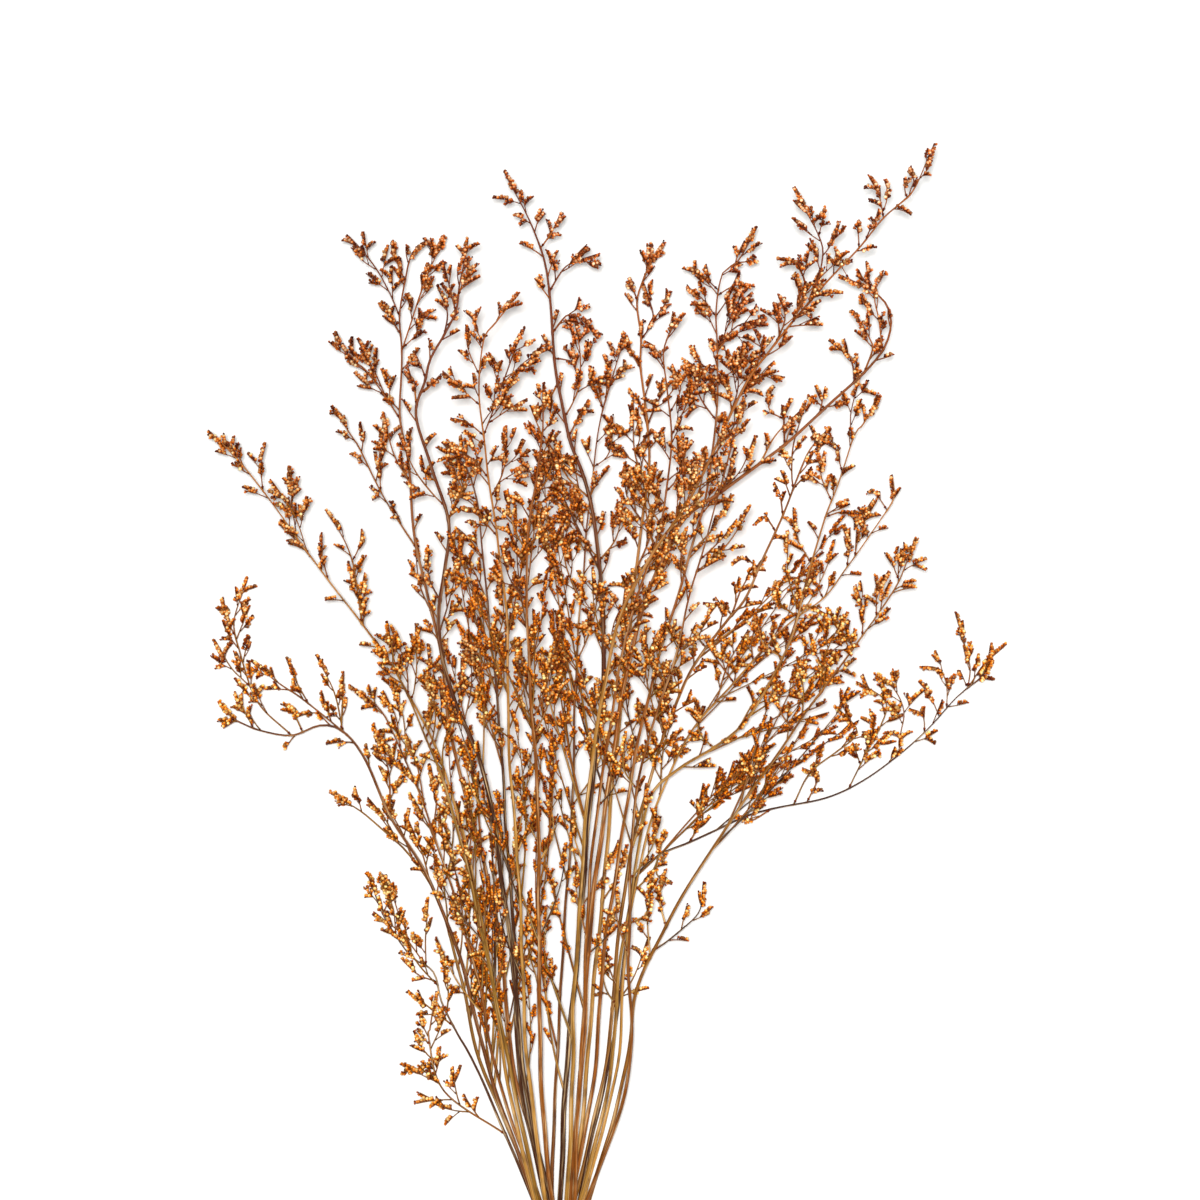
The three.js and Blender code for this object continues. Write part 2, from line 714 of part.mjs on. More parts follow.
// All strands, stem by stem: the stems first, then the plan's forks, then the side shoots
function growAll() {
  const slots = tieSlots();
  const grown = STEMS.map((_, index) => {
    for (const raise of STEM_TRIES) {
      const strand = stemStrand(index, slots[index], raise);
      if (isClear(strand)) {
        place(strand);
        return [strand];
      }
    }
    throw new Error(`${STEMS[index].name} finds no way past the other stems`);
  });
  const draws = STEMS.map((_, index) => drawsFrom(SEED * (index + 1)));
  STEMS.forEach(({ lines }, index) => {
    for (const line of lines.slice(1)) growFork(grown[index], index, line, draws[index]);
  });
  STEMS.forEach(({ lines }, index) => {
    const [stem] = grown[index];
    const draw = draws[index];
    const shoots = Math.min(Math.max(LINES_AND_SHOOTS - lines.length, SHOOTS[0]), SHOOTS[1]);
    for (let k = 0; k < shoots; k++) {
      const turn = (k + index) % 2 ? 1 : -1;
      growFork(grown[index], index, shootLine(stem, (k + draw()) / shoots, turn, draw), draw);
    }
  });
  return grown;
}

// A cylinder bent along a strand, its rings narrowed to the strand's radii. In the floret part each
// ring has one corner drawn out and forward, turn and turn about, into the point of a floret.
function strandGeometry({ points, radii, first, sides, face }) {
  const rings = points.length - 1;
  const geometry = new THREE.CylinderGeometry(1, 1, 1, sides, rings);
  const frames = points.map((point, i) => {
    const ahead = points[Math.min(i + 1, rings)].clone().sub(points[Math.max(i - 1, 0)]).normalize();
    const up = face.clone().addScaledVector(ahead, -face.dot(ahead)).normalize();
    return { point, ahead, up, across: up.clone().cross(ahead) };
  });
  const position = geometry.getAttribute("position");
  for (let v = 0; v < position.count; v++) {
    const ring = Math.round((position.getY(v) + 0.5) * rings);
    const { point, ahead, up, across } = frames[ring];
    const x = position.getX(v);
    const z = position.getZ(v);
    const centre = Math.hypot(x, z) < 0.5;
    const corner = Math.round((Math.atan2(x, z) / (2 * Math.PI)) * sides + sides) % sides;
    const pointed = !centre && ring >= first && ring < rings && corner === ring % sides;
    const radius = centre ? 0 : radii[ring] + (pointed ? FLORET_REACH : 0);
    const placed = point.clone().addScaledVector(ahead, pointed ? FLORET_LEAD : 0);
    placed.addScaledVector(across, x * radius).addScaledVector(up, -z * radius);
    position.setXYZ(v, placed.x, placed.y, placed.z);
  }
  return geometry;
}

// A closed geometry as a solid, without the triangles that a pointed end leaves flat
function solidOf(geometry) {
  const bare = new THREE.BufferGeometry().setAttribute("position", geometry.getAttribute("position"));
  bare.setIndex(geometry.index);
  const merged = mergeVertices(bare, 1e-3);
  const corners = [];
  for (let i = 0; i < merged.index.count; i += 3) {
    const [a, b, c] = [0, 1, 2].map((k) => merged.index.getX(i + k));
    if (a !== b && b !== c && c !== a) corners.push(a, b, c);
  }
  return new wasm.Manifold(
    new wasm.Mesh({
      numProp: 3,
      vertProperties: merged.getAttribute("position").array,
      triVerts: new Uint32Array(corners),
    }),
  );
}

function geometryOf(solid) {
  const mesh = solid.getMesh();
  const geometry = new THREE.BufferGeometry();
  geometry.setAttribute("position", new THREE.BufferAttribute(mesh.vertProperties, 3));
  geometry.setIndex(new THREE.BufferAttribute(mesh.triVerts, 1));
  geometry.computeVertexNormals();
  return geometry;
}

// One stem fused with all that grows from it; hollows that fusing seals are filled
function fusedStem(strands) {
  let solid = solidOf(strandGeometry(strands[0]));
  for (const strand of strands.slice(1)) solid = solid.add(solidOf(strandGeometry(strand)));
  return solid.decompose().reduce((best, part) => (part.volume() > best.volume() ? part : best));
}

// The tie: a band drawn tight round the rows of stems, with a flat underside that it rests on
function tieGeometry() {
  const rowHeight = STEM_PITCH * Math.sin(Math.PI / 3);
  const middle = Math.floor(TIE_ROWS.length / 2);
  const top = TIE_ROWS.length - 1;
  const half = (row) => ((TIE_ROWS[row] - 1) / 2) * STEM_PITCH;
  const corners = [
    vec(-half(0), 0, 0),
    vec(half(0), 0, 0),
    vec(half(middle), middle * rowHeight, 0),
    vec(half(top), top * rowHeight, 0),
    vec(-half(top), top * rowHeight, 0),
    vec(-half(middle), middle * rowHeight, 0),
  ];
  const heading = (from, to) => Math.atan2(to.y - from.y, to.x - from.x) - Math.PI / 2;
  const outline = (offset) => {
    const path = new THREE.Path();
    corners.forEach((corner, i) => {
      const start = heading(corners[(i + 5) % 6], corner);
      const end = heading(corner, corners[(i + 1) % 6]);
      path.absarc(corner.x, corner.y, offset, start, end < start ? end + 2 * Math.PI : end, false);
    });
    return path.getPoints(TIE_ARC_STEPS);
  };
  const band = new THREE.Shape(outline(STEM_RADIUS + CLEAR + TIE_THICKNESS));
  band.holes.push(new THREE.Path(outline(STEM_RADIUS + CLEAR)));
  const geometry = new THREE.ExtrudeGeometry(band, { depth: TIE_WIDTH, bevelEnabled: false });
  geometry.rotateX(Math.PI / 2);
  geometry.translate(0, TIE_WIDTH / 2, TIE_THICKNESS + CLEAR + STEM_RADIUS);
  return geometry;
}

const caspia = new THREE.MeshStandardMaterial({ color: 0xb56a2c, roughness: 0.7, metalness: 0 });
const twine = new THREE.MeshStandardMaterial({ color: 0xb99a66, roughness: 0.9, metalness: 0 });

const bunch = new THREE.Group();

growAll().forEach((strands, index) => {
  const mesh = new THREE.Mesh(geometryOf(fusedStem(strands)), caspia);
  mesh.name = STEMS[index].name;
  bunch.add(mesh);
});

const tie = new THREE.Mesh(tieGeometry(), twine);
tie.name = "tie";
bunch.add(tie);

export default bunch;
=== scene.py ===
import json
import math

import bpy
import numpy as np
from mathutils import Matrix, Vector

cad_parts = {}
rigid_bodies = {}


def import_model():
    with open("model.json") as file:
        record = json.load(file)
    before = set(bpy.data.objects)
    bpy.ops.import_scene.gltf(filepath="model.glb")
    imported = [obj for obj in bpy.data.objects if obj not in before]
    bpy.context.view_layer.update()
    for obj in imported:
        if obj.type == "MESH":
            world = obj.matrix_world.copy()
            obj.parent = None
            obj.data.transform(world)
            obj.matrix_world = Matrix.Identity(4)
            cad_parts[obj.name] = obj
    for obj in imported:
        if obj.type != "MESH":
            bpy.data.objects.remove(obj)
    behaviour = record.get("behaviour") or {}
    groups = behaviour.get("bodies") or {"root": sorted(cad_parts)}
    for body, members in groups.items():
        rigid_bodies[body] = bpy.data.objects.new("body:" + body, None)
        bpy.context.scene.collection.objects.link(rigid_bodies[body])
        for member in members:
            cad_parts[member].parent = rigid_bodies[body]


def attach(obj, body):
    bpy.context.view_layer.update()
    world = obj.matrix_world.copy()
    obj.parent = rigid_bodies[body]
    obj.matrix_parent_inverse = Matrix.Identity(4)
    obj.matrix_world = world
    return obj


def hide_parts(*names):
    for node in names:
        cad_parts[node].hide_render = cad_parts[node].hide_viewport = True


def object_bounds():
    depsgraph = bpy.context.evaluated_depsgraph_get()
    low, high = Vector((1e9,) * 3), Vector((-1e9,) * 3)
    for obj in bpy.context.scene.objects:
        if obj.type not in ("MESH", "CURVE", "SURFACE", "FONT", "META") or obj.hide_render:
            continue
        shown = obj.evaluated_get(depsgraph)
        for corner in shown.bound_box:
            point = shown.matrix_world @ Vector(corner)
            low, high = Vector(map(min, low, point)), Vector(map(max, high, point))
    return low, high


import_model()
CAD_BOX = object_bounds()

# Preserved caspia statice: 24 branching stems tied in a bunch, lying on its side. Each stem of the
# solids gets a finer piece on the same lines: round tapered wood, thin branchlets, and one-sided
# spikes of small papery florets. The growth is worked out in millimetres and turned to metres when a
# mesh is made.

bl_info = {
    "name": "Preserved caspia statice",
    "version": (1, 0, 0),
    "blender": (4, 5, 0),
    "location": "3D View > Sidebar > Caspia",
    "description": "Models and finishes a tied bunch of preserved caspia statice",
    "category": "Object",
}

MM = 0.001
STEM_FINISHES = ("wood", "axis", "floret", "pith")
TIE_FINISHES = ("twine",)

# Driving dimensions of the growth, as the solids have them
CUT_END = -78
CUT_STEP = 2.5
CUT_LEVELS = 5
CUT_SPREAD = 1.12
STEM_RADIUS = 1.55
STEM_PITCH = 3.75
TIE_ROWS = (4, 5, 6, 5, 4)
TIE_WIDTH = 10
TIE_THICKNESS = 1.8
TIE_STRAIGHT = 10
CLEAR = 0.35
RISE_LENGTH = 560
TIP_RADIUS = 0.45
FLORET_CORE = 0.85
REACH_MOST = FLORET_CORE + 3.9
FLORET_STEP = 6.6
STEM_FLORETS = 6
STEM_FLOWERING = 1.2
FORK_FLORETS = (2, 6)
FORK_BARE = 12
FLOWERING_MOST = 0.72
FORK_LONG = 45
FORK_SHARE = 0.6
FORK_RADIUS = 0.45
FORK_RADIUS_GAIN = 0.007
ROOT_SHARE = 0.45
OWN_CLEAR = 0.35
FLOOR = REACH_MOST + 0.2
STEM_TRIES = (0, 5, -5, 10, -10, 15, -15, 20, -20, 26, -26, 32, -32)
FORK_TRIES = (0.12, -0.12, 0.35, -0.35, 0.6, -0.6, 0.9, -0.9, 1.2, -1.2)
SEED = 7919
LINES_AND_SHOOTS = 14
SHOOTS = (1, 5)
SHOOT_FROM = 150
SHOOT_TO = 500
SHOOT_LENGTH = (34, 58)
SHOOT_ANGLE = (0.3, 0.55)
SHOOT_BEND = 0.25
LEANING = 0.3

# Fine growth that only this script makes, in millimetres and radians.

# The wood. Over SLIMMING a stem goes from the solids' thickness at the tie to its own share of it, it
# keeps that for longer the higher TAPER is, and SLIM_TIP is its radius where its florets start. The
# least heights keep each middle line above the surface.
SLIMMING = 75
TAPER = 2.3
SLIM_TIP = 0.54
WOODY_FROM = 0.6
STEM_SIDES = 10
FORK_SIDES = 5
TWIG_SIDES = 4
SPIKE_SIDES = 3
STEM_SPACING = 6
FORK_SPACING = 4
STEM_LEAST_HEIGHT = 1.4
TWIG_LEAST_HEIGHT = 1.2

# The swelling where a fork leaves, and how thick the fork's own root is
SWELLING_REACH = 2.2
SWELLING_ROOM = 1.4
SWELLING = 1.2
ROOT_SWELLING = 1.3
ROOT_LIMIT = 0.85

# How far a stem strays to each side above the tie, in a long and a short wave; their lengths are those
# of one radian
WAVER = 0.55
WAVER_FROM = 20
WAVER_FULL_AFTER = 60
LONG_WAVE = 24
SHORT_WAVE = 9
SHORT_WAVE_SHARE = 0.5
WAVE_SHIFT = 2.4

# How side growth branches on sprigs, in the heads and on twigs: its spacing as a share of the spikes',
# its longest branch, the angles it leaves at, how it curls, and the size of its florets
SPRIG_HABIT = (2.4, 14, (0.35, 0.8), (-0.9, 0.9), 1.0)
HEAD_HABIT = (1.0, 14, (0.35, 0.75), (-1.2, 0.8), 1.0)
TWIG_HABIT = (1.4, 13, (0.2, 0.5), (-0.3, 0.25), 0.82)

# Branches along a line: the longest on a fork, where they start, how they shorten to its tip, how their
# lengths and spacings scatter, and how both follow FULLNESS
FORK_BRANCHES = (8, 21)
FORK_BRANCH_SHARE = 0.36
FORK_BARE_SHARE = 0.16
FORK_BARE_LEAST = 5
BRANCH_LEAST = 5
BRANCH_GAIN = 0.45
BRANCH_SCATTER = (0.7, 1.15)
SPACING_SCATTER = (0.75, 1.25)
FORKED_SPACING = 1.5
FULLER_REACH = 0.4
FULLER_SPACING = 0.6
FULLNESS_EDGE = 4
BRANCH_SHARE = 0.8
FIRST_BRANCH = (0.0, 0.6)

# The spike at a line's tip: the share of it that side branches keep off, its most as a share of the
# line, and how far its inner side turns upwards
TIP_SPIKE_FREE = 0.5
TIP_SPIKE_MOST = 0.4
TIP_SPIKE_RISE = 0.3

# A branch that forks again: its points, its curl, its longest spike, and where spikes and florets start
FORKED_POINTS = 6
FORKED_CURL = 0.5
FORKED_LONGEST = 0.5
FORKED_BARE = 0.2
FORKED_FLORETS_FROM = 0.5
SPIKE_POINTS = 4
SPIKE_FLORETS_FROM = 0.1

# The scale at the foot of a fork or branch, the hollow of a cut end, and the angle that stays sharp
FORK_BRACT = 0.9
SPIKE_BRACT = 0.5
BRACT_TONE = 0.4
BRACT_GRAIN = 0.5
CUT_HOLLOW = 0.25
SHARP_ANGLE = math.radians(100)

# Florets: where the rim stands on one, and how much one differs from the next
FLORET_SIDES = 6
RIM_HEIGHT = 0.76
SMALLER_TO_TIP = 0.15
TIP_FLORET = 0.72
TIP_LEAN = 0.3
ROOT_LEAN_SHARE = 1.1
LESS_LEAN_TO_TIP = 0.3
LEAN_SCATTER = 0.1
ROW_SCATTER = 0.2
FLORET_SCATTER = (0.8, 1.12)
WIDTH_SCATTER = (0.82, 1.18)

# Twigs that fill the heart of the bunch. Ranges are least and most, but TWIG_DROOP is a mean and how
# far it scatters.
TWIG_FROM = (85, 470)
TWIG_LENGTH = (50, 160)
TWIG_TRIES = 60
TWIG_ANGLE = (0.12, 0.4)
TWIG_DROOP = (-0.08, 0.1)
TWIG_CURL = (0.0, 0.45)
TWIG_SPACING = 8
TWIG_SHARE = 0.7
TWIG_RADIUS = 0.3
TWIG_RADIUS_GAIN = 0.0035
TWIG_BARE_SHARE = 0.25

# The twine: one turn of its twist, its points' spacing, the sides of a ply, a ply's distance and radius
# as shares of the twine's radius, how its ends thin out, and the steps round a corner
TWINE_LAY = 5.5
TWINE_STEP = 0.7
PLY_SIDES = 7
PLY_REACH = 0.47
PLY_RADIUS = 0.53
TWINE_END = 3
TWINE_END_SHARE = 0.25
CORNER_STEPS = 8

# The stage, in metres: for each light its name, x and y from the middle of the view, height and size.
# The sensor is in the lens's millimetres.
FLOOR_SIZE = 12
FLOOR_DROP = 0.0002
LIGHTS = (("key", -0.05, 0.08, 7.2, 0.3), ("fill", 1.5, -0.6, 1.6, 1.5))
SENSOR = 36
FARTHEST_SEEN = 50

# Real sizes of the finishes' patterns, in metres: the width of one mark
CALYX_CREASES = 0.0006
STEM_RIBS = 0.0009
STEM_BLOTCHES = 0.012
PITH_PORES = 0.0003
JUTE_FIBRES = 0.00025
PAPER_TOOTH = 0.002

# Outlines of the dense parts of the bunch, seen from above, that its twigs end in
THICKETS = [
    [
        (-50, 125), (-60, 200), (-68, 300), (-78, 400), (-62, 500), (-10, 520), (5, 400),
        (-5, 300), (-8, 190), (-18, 125),
    ],
    [(100, 290), (190, 320), (195, 460), (150, 462), (120, 380)],
]

# Where growth is fuller or barer than elsewhere, seen from above: x, y, reach and by how much. These
# are fitted to how dense the photographed bunch is, for this seed.
FULLNESS = [
    (-105, 430, 50, 0.35), (-140, 350, 24, 0.45), (-104, 492, 28, 0.7), (-102, 346, 22, 1.4),
    (-102, 278, 30, 1.6), (-66, 300, 50, 0.5), (-62, 190, 40, 0.4), (-62, 390, 24, 1.3),
    (-36, 312, 32, 1.7), (-32, 455, 52, 1.45), (6, 600, 32, 1.4), (-34, 500, 30, 1.3),
    (20, 225, 70, 0.4), (36, 435, 46, 1.55), (48, 535, 26, 0.6), (76, 284, 28, 1.8),
    (108, 280, 26, 1.7), (78, 352, 34, 1.8), (78, 505, 42, 1.7), (116, 332, 30, 0.5),
    (118, 435, 36, 0.25), (118, 488, 36, 0.35), (114, 560, 44, 2.4), (120, 600, 24, 0.7),
    (150, 460, 24, 2.1), (150, 410, 24, 0.6), (156, 300, 22, 0.6), (152, 348, 28, 1.6),
    (150, 640, 35, 0.7), (186, 410, 32, 1.5), (188, 470, 28, 0.3), (215, 660, 30, 0.6),
    (258, 384, 24, 0.6),
]

# The plan of the bunch, stem by stem, as the solids have it: name, height of its head, thickness,
# and its lines of x, y points seen from above, first the stem and then its forks
STEMS = [
    ("stem_left_arch", 30, 0.9, [
        [
            (-42, 114), (-60, 180), (-80, 233), (-103, 272), (-120, 308), (-133, 323), (-146, 326),
            (-163, 320), (-182, 323), (-198, 330), (-207, 339),
        ],
        [(-163, 320), (-178, 331), (-188, 350), (-195, 372), (-198, 390), (-190, 414)],
        [(-128, 320), (-152, 339), (-170, 351), (-187, 364)],
        [(-152, 339), (-160, 352), (-166, 365)],
        [(-133, 323), (-132, 340), (-131, 357)],
        [(-157, 322), (-162, 334), (-168, 338)],
        [(-186, 324), (-192, 336), (-196, 345)],
        [(-188, 350), (-199, 360), (-209, 377)],
        [(-197, 380), (-202, 390), (-204, 402)],
    ]),
    ("stem_left_long", 75, 0.95, [
        [
            (-33, 114), (-42, 180), (-56, 250), (-76, 315), (-97, 356), (-119, 388), (-140, 414),
            (-155, 434), (-170, 456), (-190, 482), (-209, 503),
        ],
        [(-119, 388), (-122, 408), (-125, 425), (-131, 440), (-141, 455)],
        [(-125, 425), (-121, 434), (-120, 443)],
        [(-119, 388), (-120, 403), (-118, 417)],
        [(-140, 414), (-143, 428), (-143, 441)],
        [(-158, 438), (-161, 460), (-162, 481)],
        [(-160, 450), (-156, 455), (-153, 460)],
        [(-178, 468), (-180, 482), (-177, 495)],
        [(-150, 426), (-158, 437), (-168, 446)],
        [(-190, 482), (-196, 490), (-196, 499)],
    ]),
    ("stem_lower_left_fan", 5, 0.9, [
        [(-46, 114), (-60, 172), (-76, 222), (-92, 247), (-108, 262), (-122, 274), (-139, 284)],
        [(-100, 255), (-106, 268), (-116, 281)],
        [(-88, 243), (-97, 262), (-108, 280)],
        [(-78, 226), (-84, 248), (-92, 268)],
        [(-66, 196), (-70, 222), (-75, 246)],
    ]),
    ("stem_left_shoulder", 48, 0.9, [
        [(-38, 114), (-50, 170), (-66, 230), (-82, 276), (-97, 312), (-109, 335), (-126, 350)],
        [(-82, 276), (-86, 300), (-92, 320)],
        [(-97, 312), (-99, 330), (-106, 346)],
        [(-58, 202), (-62, 232), (-70, 256)],
        [(-72, 248), (-80, 266), (-90, 284)],
        [(-88, 288), (-100, 304), (-110, 319)],
    ]),
    ("stem_left_cluster", 104, 1, [
        [(-30, 114), (-42, 180), (-56, 240), (-70, 292), (-85, 332), (-97, 358), (-103, 388)],
        [(-88, 340), (-86, 362), (-87, 386)],
        [(-97, 358), (-104, 368), (-110, 378)],
        [(-79, 316), (-77, 345), (-80, 374)],
        [(-70, 292), (-70, 315), (-62, 336)],
        [(-60, 256), (-66, 280), (-72, 300)],
        [(-48, 206), (-52, 232), (-58, 256)],
    ]),
    ("stem_top_left", 62, 1, [
        [
            (-27, 114), (-36, 190), (-50, 260), (-66, 320), (-74, 380), (-86, 433), (-92, 485),
            (-97, 515), (-95, 552), (-96, 576), (-90, 608), (-82, 617),
        ],
        [(-86, 433), (-103, 458), (-116, 485), (-127, 503), (-137, 517)],
        [(-107, 467), (-109, 488), (-105, 507)],
        [(-97, 512), (-115, 538), (-127, 548), (-136, 561)],
        [(-104, 523), (-112, 540), (-122, 558)],
        [(-96, 574), (-108, 597), (-118, 611), (-127, 621)],
        [(-95, 552), (-88, 575), (-80, 598), (-70, 620)],
        [(-94, 553), (-87, 562), (-84, 574)],
        [(-76, 392), (-85, 412), (-88, 438)],
        [(-96, 562), (-102, 572), (-107, 580)],
        [(-94, 592), (-98, 605), (-100, 617)],
    ]),
    ("stem_top_left_second", 122, 0.95, [
        [
            (-22, 114), (-30, 200), (-44, 290), (-62, 340), (-72, 382), (-69, 420), (-67, 450),
            (-77, 482), (-85, 512), (-80, 532), (-77, 546), (-69, 560), (-62, 574), (-60, 592),
            (-55, 616),
        ],
        [(-67, 450), (-58, 468), (-50, 486)],
        [(-69, 560), (-67, 574), (-73, 588)],
        [(-61, 582), (-56, 594), (-49, 601)],
        [(-80, 534), (-85, 547)],
        [(-84, 518), (-90, 540)],
        [(-82, 524), (-72, 536)],
        [(-62, 574), (-66, 590), (-69, 603)],
        [(-72, 382), (-66, 402), (-60, 425)],
        [(-70, 400), (-78, 415), (-78, 433)],
    ]),
    ("stem_centre_left", 150, 1, [
        [
            (-19, 114), (-22, 180), (-26, 250), (-30, 320), (-32, 390), (-37, 440), (-43, 485),
            (-48, 522), (-46, 555), (-38, 567), (-24, 583),
        ],
        [(-47, 516), (-58, 527), (-68, 537)],
        [(-44, 498), (-54, 507), (-63, 510)],
        [(-40, 500), (-34, 530), (-26, 552), (-21, 562)],
        [(-34, 530), (-20, 544), (-6, 551)],
        [(-38, 505), (-29, 516), (-21, 521)],
        [(-48, 536), (-54, 550), (-56, 564)],
        [(-46, 555), (-50, 565), (-47, 574)],
        [(-41, 472), (-52, 486), (-67, 494)],
        [(-37, 440), (-48, 452), (-58, 456)],
    ]),
    ("stem_tall_centre", 94, 1, [
        [
            (4, 114), (9, 180), (15, 240), (20, 300), (26, 360), (26, 400), (22, 440), (14, 475),
            (5, 500), (-1, 532), (-4, 562), (-8, 600), (-18, 627), (-33, 657),
        ],
        [(-10, 611), (-5, 622), (0, 633)],
        [(-6, 586), (4, 602), (22, 609)],
        [(-4, 562), (5, 573), (14, 569), (21, 560)],
        [(-3, 548), (8, 545)],
        [(-1, 532), (-8, 519), (-13, 512)],
        [(3, 512), (11, 528), (12, 550), (8, 572)],
        [(5, 500), (12, 513), (16, 521)],
        [(14, 475), (2, 484), (-2, 498)],
        [(24, 425), (34, 440), (38, 460)],
    ]),
    ("stem_centre_tips", 66, 0.9, [
        [
            (-3, 114), (2, 190), (6, 260), (9, 330), (12, 400), (17, 455), (24, 505), (29, 528),
            (39, 561),
        ],
        [(30, 530), (37, 539), (43, 541)],
        [(26, 514), (21, 528), (19, 541)],
        [(27, 522), (29, 538), (26, 548)],
        [(12, 400), (3, 425), (2, 448)],
        [(15, 440), (10, 456), (8, 469)],
        [(20, 480), (30, 492), (32, 512)],
        [(10, 350), (2, 372), (0, 395)],
    ]),
    ("stem_slim_top", 38, 0.9, [
        [
            (16, 114), (22, 190), (30, 270), (38, 350), (46, 420), (53, 475), (52, 512), (48, 542),
            (49, 562), (47, 583), (53, 602), (62, 618),
        ],
        [(48, 542), (43, 552), (39, 563)],
        [(49, 560), (56, 571), (54, 583), (51, 593)],
        [(56, 571), (62, 579), (67, 587)],
        [(47, 583), (41, 595)],
        [(51, 597), (54, 608), (54, 617)],
        [(52, 512), (43, 529)],
        [(53, 508), (60, 524), (67, 533)],
        [(50, 448), (40, 466), (40, 484)],
        [(46, 420), (54, 440), (56, 458)],
    ]),
    ("stem_slim_top_right", 130, 0.9, [
        [
            (12, 114), (16, 200), (24, 290), (40, 380), (58, 440), (66, 490), (65, 525), (62, 548),
            (66, 562), (74, 571),
        ],
        [(63, 540), (57, 552), (52, 556)],
        [(66, 500), (74, 515), (80, 530)],
        [(66, 512), (72, 528), (68, 541)],
        [(60, 448), (52, 462), (44, 478)],
        [(62, 462), (72, 478), (74, 500)],
        [(46, 400), (58, 414), (66, 428)],
    ]),
    ("stem_upper_right", 88, 1, [
        [
            (20, 114), (28, 200), (42, 290), (60, 370), (78, 430), (90, 475), (94, 520), (94, 550),
            (93, 575), (98, 598), (107, 605), (118, 624),
        ],
        [(106, 604), (117, 606)],
        [(97, 583), (105, 591), (113, 589)],
        [(93, 572), (86, 582), (78, 589)],
        [(95, 588), (86, 596), (75, 600)],
        [(94, 552), (106, 566), (121, 571)],
        [(96, 556), (105, 576), (114, 586)],
        [(94, 540), (84, 544), (81, 553)],
        [(93, 508), (83, 526), (79, 542)],
        [(91, 488), (104, 506), (110, 520)],
        [(84, 450), (98, 470), (104, 492)],
    ]),
    ("stem_far_right_tip", 142, 1, [
        [
            (8, 114), (8, 163), (13, 235), (21, 320), (34, 385), (53, 425), (73, 455), (92, 492),
            (110, 530), (127, 552), (142, 571), (158, 590), (178, 611), (192, 629), (209, 645),
            (222, 672),
        ],
        [(192, 629), (190, 642), (184, 653)],
        [(191, 632), (195, 642), (193, 650)],
        [(178, 611), (177, 626)],
        [(182, 616), (187, 628)],
        [(205, 641), (204, 651)],
        [(211, 648), (209, 658)],
        [(140, 569), (146, 588), (141, 601), (131, 604)],
        [(150, 582), (156, 603), (154, 618), (139, 645)],
        [(154, 618), (158, 634)],
        [(130, 555), (134, 570), (130, 582)],
        [(138, 566), (148, 578), (156, 587)],
        [(122, 546), (116, 561)],
        [(114, 534), (124, 536), (132, 535)],
        [(100, 508), (106, 528), (104, 548)],
        [(62, 440), (76, 462), (80, 482)],
    ]),
    ("stem_arched", 114, 0.95, [
        [
            (12, 114), (18, 200), (30, 300), (48, 390), (70, 445), (97, 467), (120, 484),
            (140, 499), (165, 522), (182, 538), (194, 553), (198, 568), (194, 580), (184, 588),
            (168, 596),
        ],
        [(136, 496), (134, 510), (139, 521)],
        [(134, 510), (125, 516), (127, 528)],
        [(155, 513), (158, 528)],
        [(181, 537), (187, 552), (183, 563), (177, 574)],
        [(175, 531), (174, 546), (162, 556)],
        [(192, 550), (191, 568), (188, 584), (193, 597)],
        [(186, 587), (183, 603)],
        [(172, 594), (164, 611)],
        [(160, 518), (150, 524)],
        [(76, 450), (84, 470), (88, 492)],
    ]),
    ("stem_right_column", 72, 1, [
        [
            (30, 114), (36, 180), (45, 240), (54, 282), (72, 300), (93, 313), (110, 327),
            (125, 350), (138, 378), (146, 405), (153, 430), (160, 452), (168, 472), (176, 500),
            (182, 508), (191, 524),
        ],
        [(175, 497), (175, 515), (181, 537)],
        [(160, 451), (171, 455), (181, 446)],
        [(151, 424), (142, 440), (140, 456)],
        [(149, 416), (136, 413), (126, 407)],
        [(146, 405), (152, 414)],
        [(165, 463), (157, 476), (158, 490)],
        [(142, 391), (132, 400), (130, 412)],
        [(170, 480), (163, 498), (152, 500)],
        [(132, 366), (122, 376), (118, 392)],
        [(92, 312), (84, 322), (82, 340)],
    ]),
    ("stem_right_inner", 12, 0.9, [
        [
            (27, 114), (34, 190), (48, 270), (72, 345), (98, 385), (112, 402), (122, 424),
            (133, 450), (143, 475), (151, 493), (162, 506),
        ],
        [(121, 422), (112, 427), (106, 424)],
        [(130, 443), (124, 453), (118, 449)],
        [(134, 453), (134, 463), (131, 472)],
        [(104, 391), (97, 400), (90, 392)],
        [(140, 468), (150, 478), (156, 476)],
        [(86, 368), (84, 380), (90, 390)],
        [(62, 315), (60, 334), (66, 352)],
    ]),
    ("stem_right_outer_upper", 52, 0.9, [
        [
            (33, 114), (40, 190), (52, 260), (75, 315), (105, 352), (135, 385), (158, 403),
            (171, 420), (181, 433), (193, 450), (201, 463), (201, 476),
        ],
        [(186, 440), (183, 452), (188, 462)],
        [(172, 421), (174, 434), (170, 446)],
        [(196, 455), (191, 466), (186, 466)],
        [(158, 403), (154, 414), (153, 424)],
        [(140, 388), (148, 398), (160, 394)],
        [(105, 352), (96, 364), (88, 376)],
        [(118, 366), (116, 380), (124, 392)],
    ]),
    ("stem_right_outer", 86, 0.95, [
        [
            (39, 114), (46, 165), (63, 205), (85, 242), (108, 276), (128, 305), (148, 335),
            (174, 371), (190, 392), (203, 412), (213, 438),
        ],
        [(174, 371), (168, 384), (160, 396)],
        [(180, 379), (182, 395), (178, 410)],
        [(190, 392), (190, 406), (196, 418)],
        [(204, 414), (200, 424), (205, 432)],
        [(150, 338), (160, 352), (156, 366)],
        [(140, 322), (132, 336), (130, 354)],
        [(146, 332), (146, 350), (142, 366)],
        [(122, 296), (112, 302), (106, 304)],
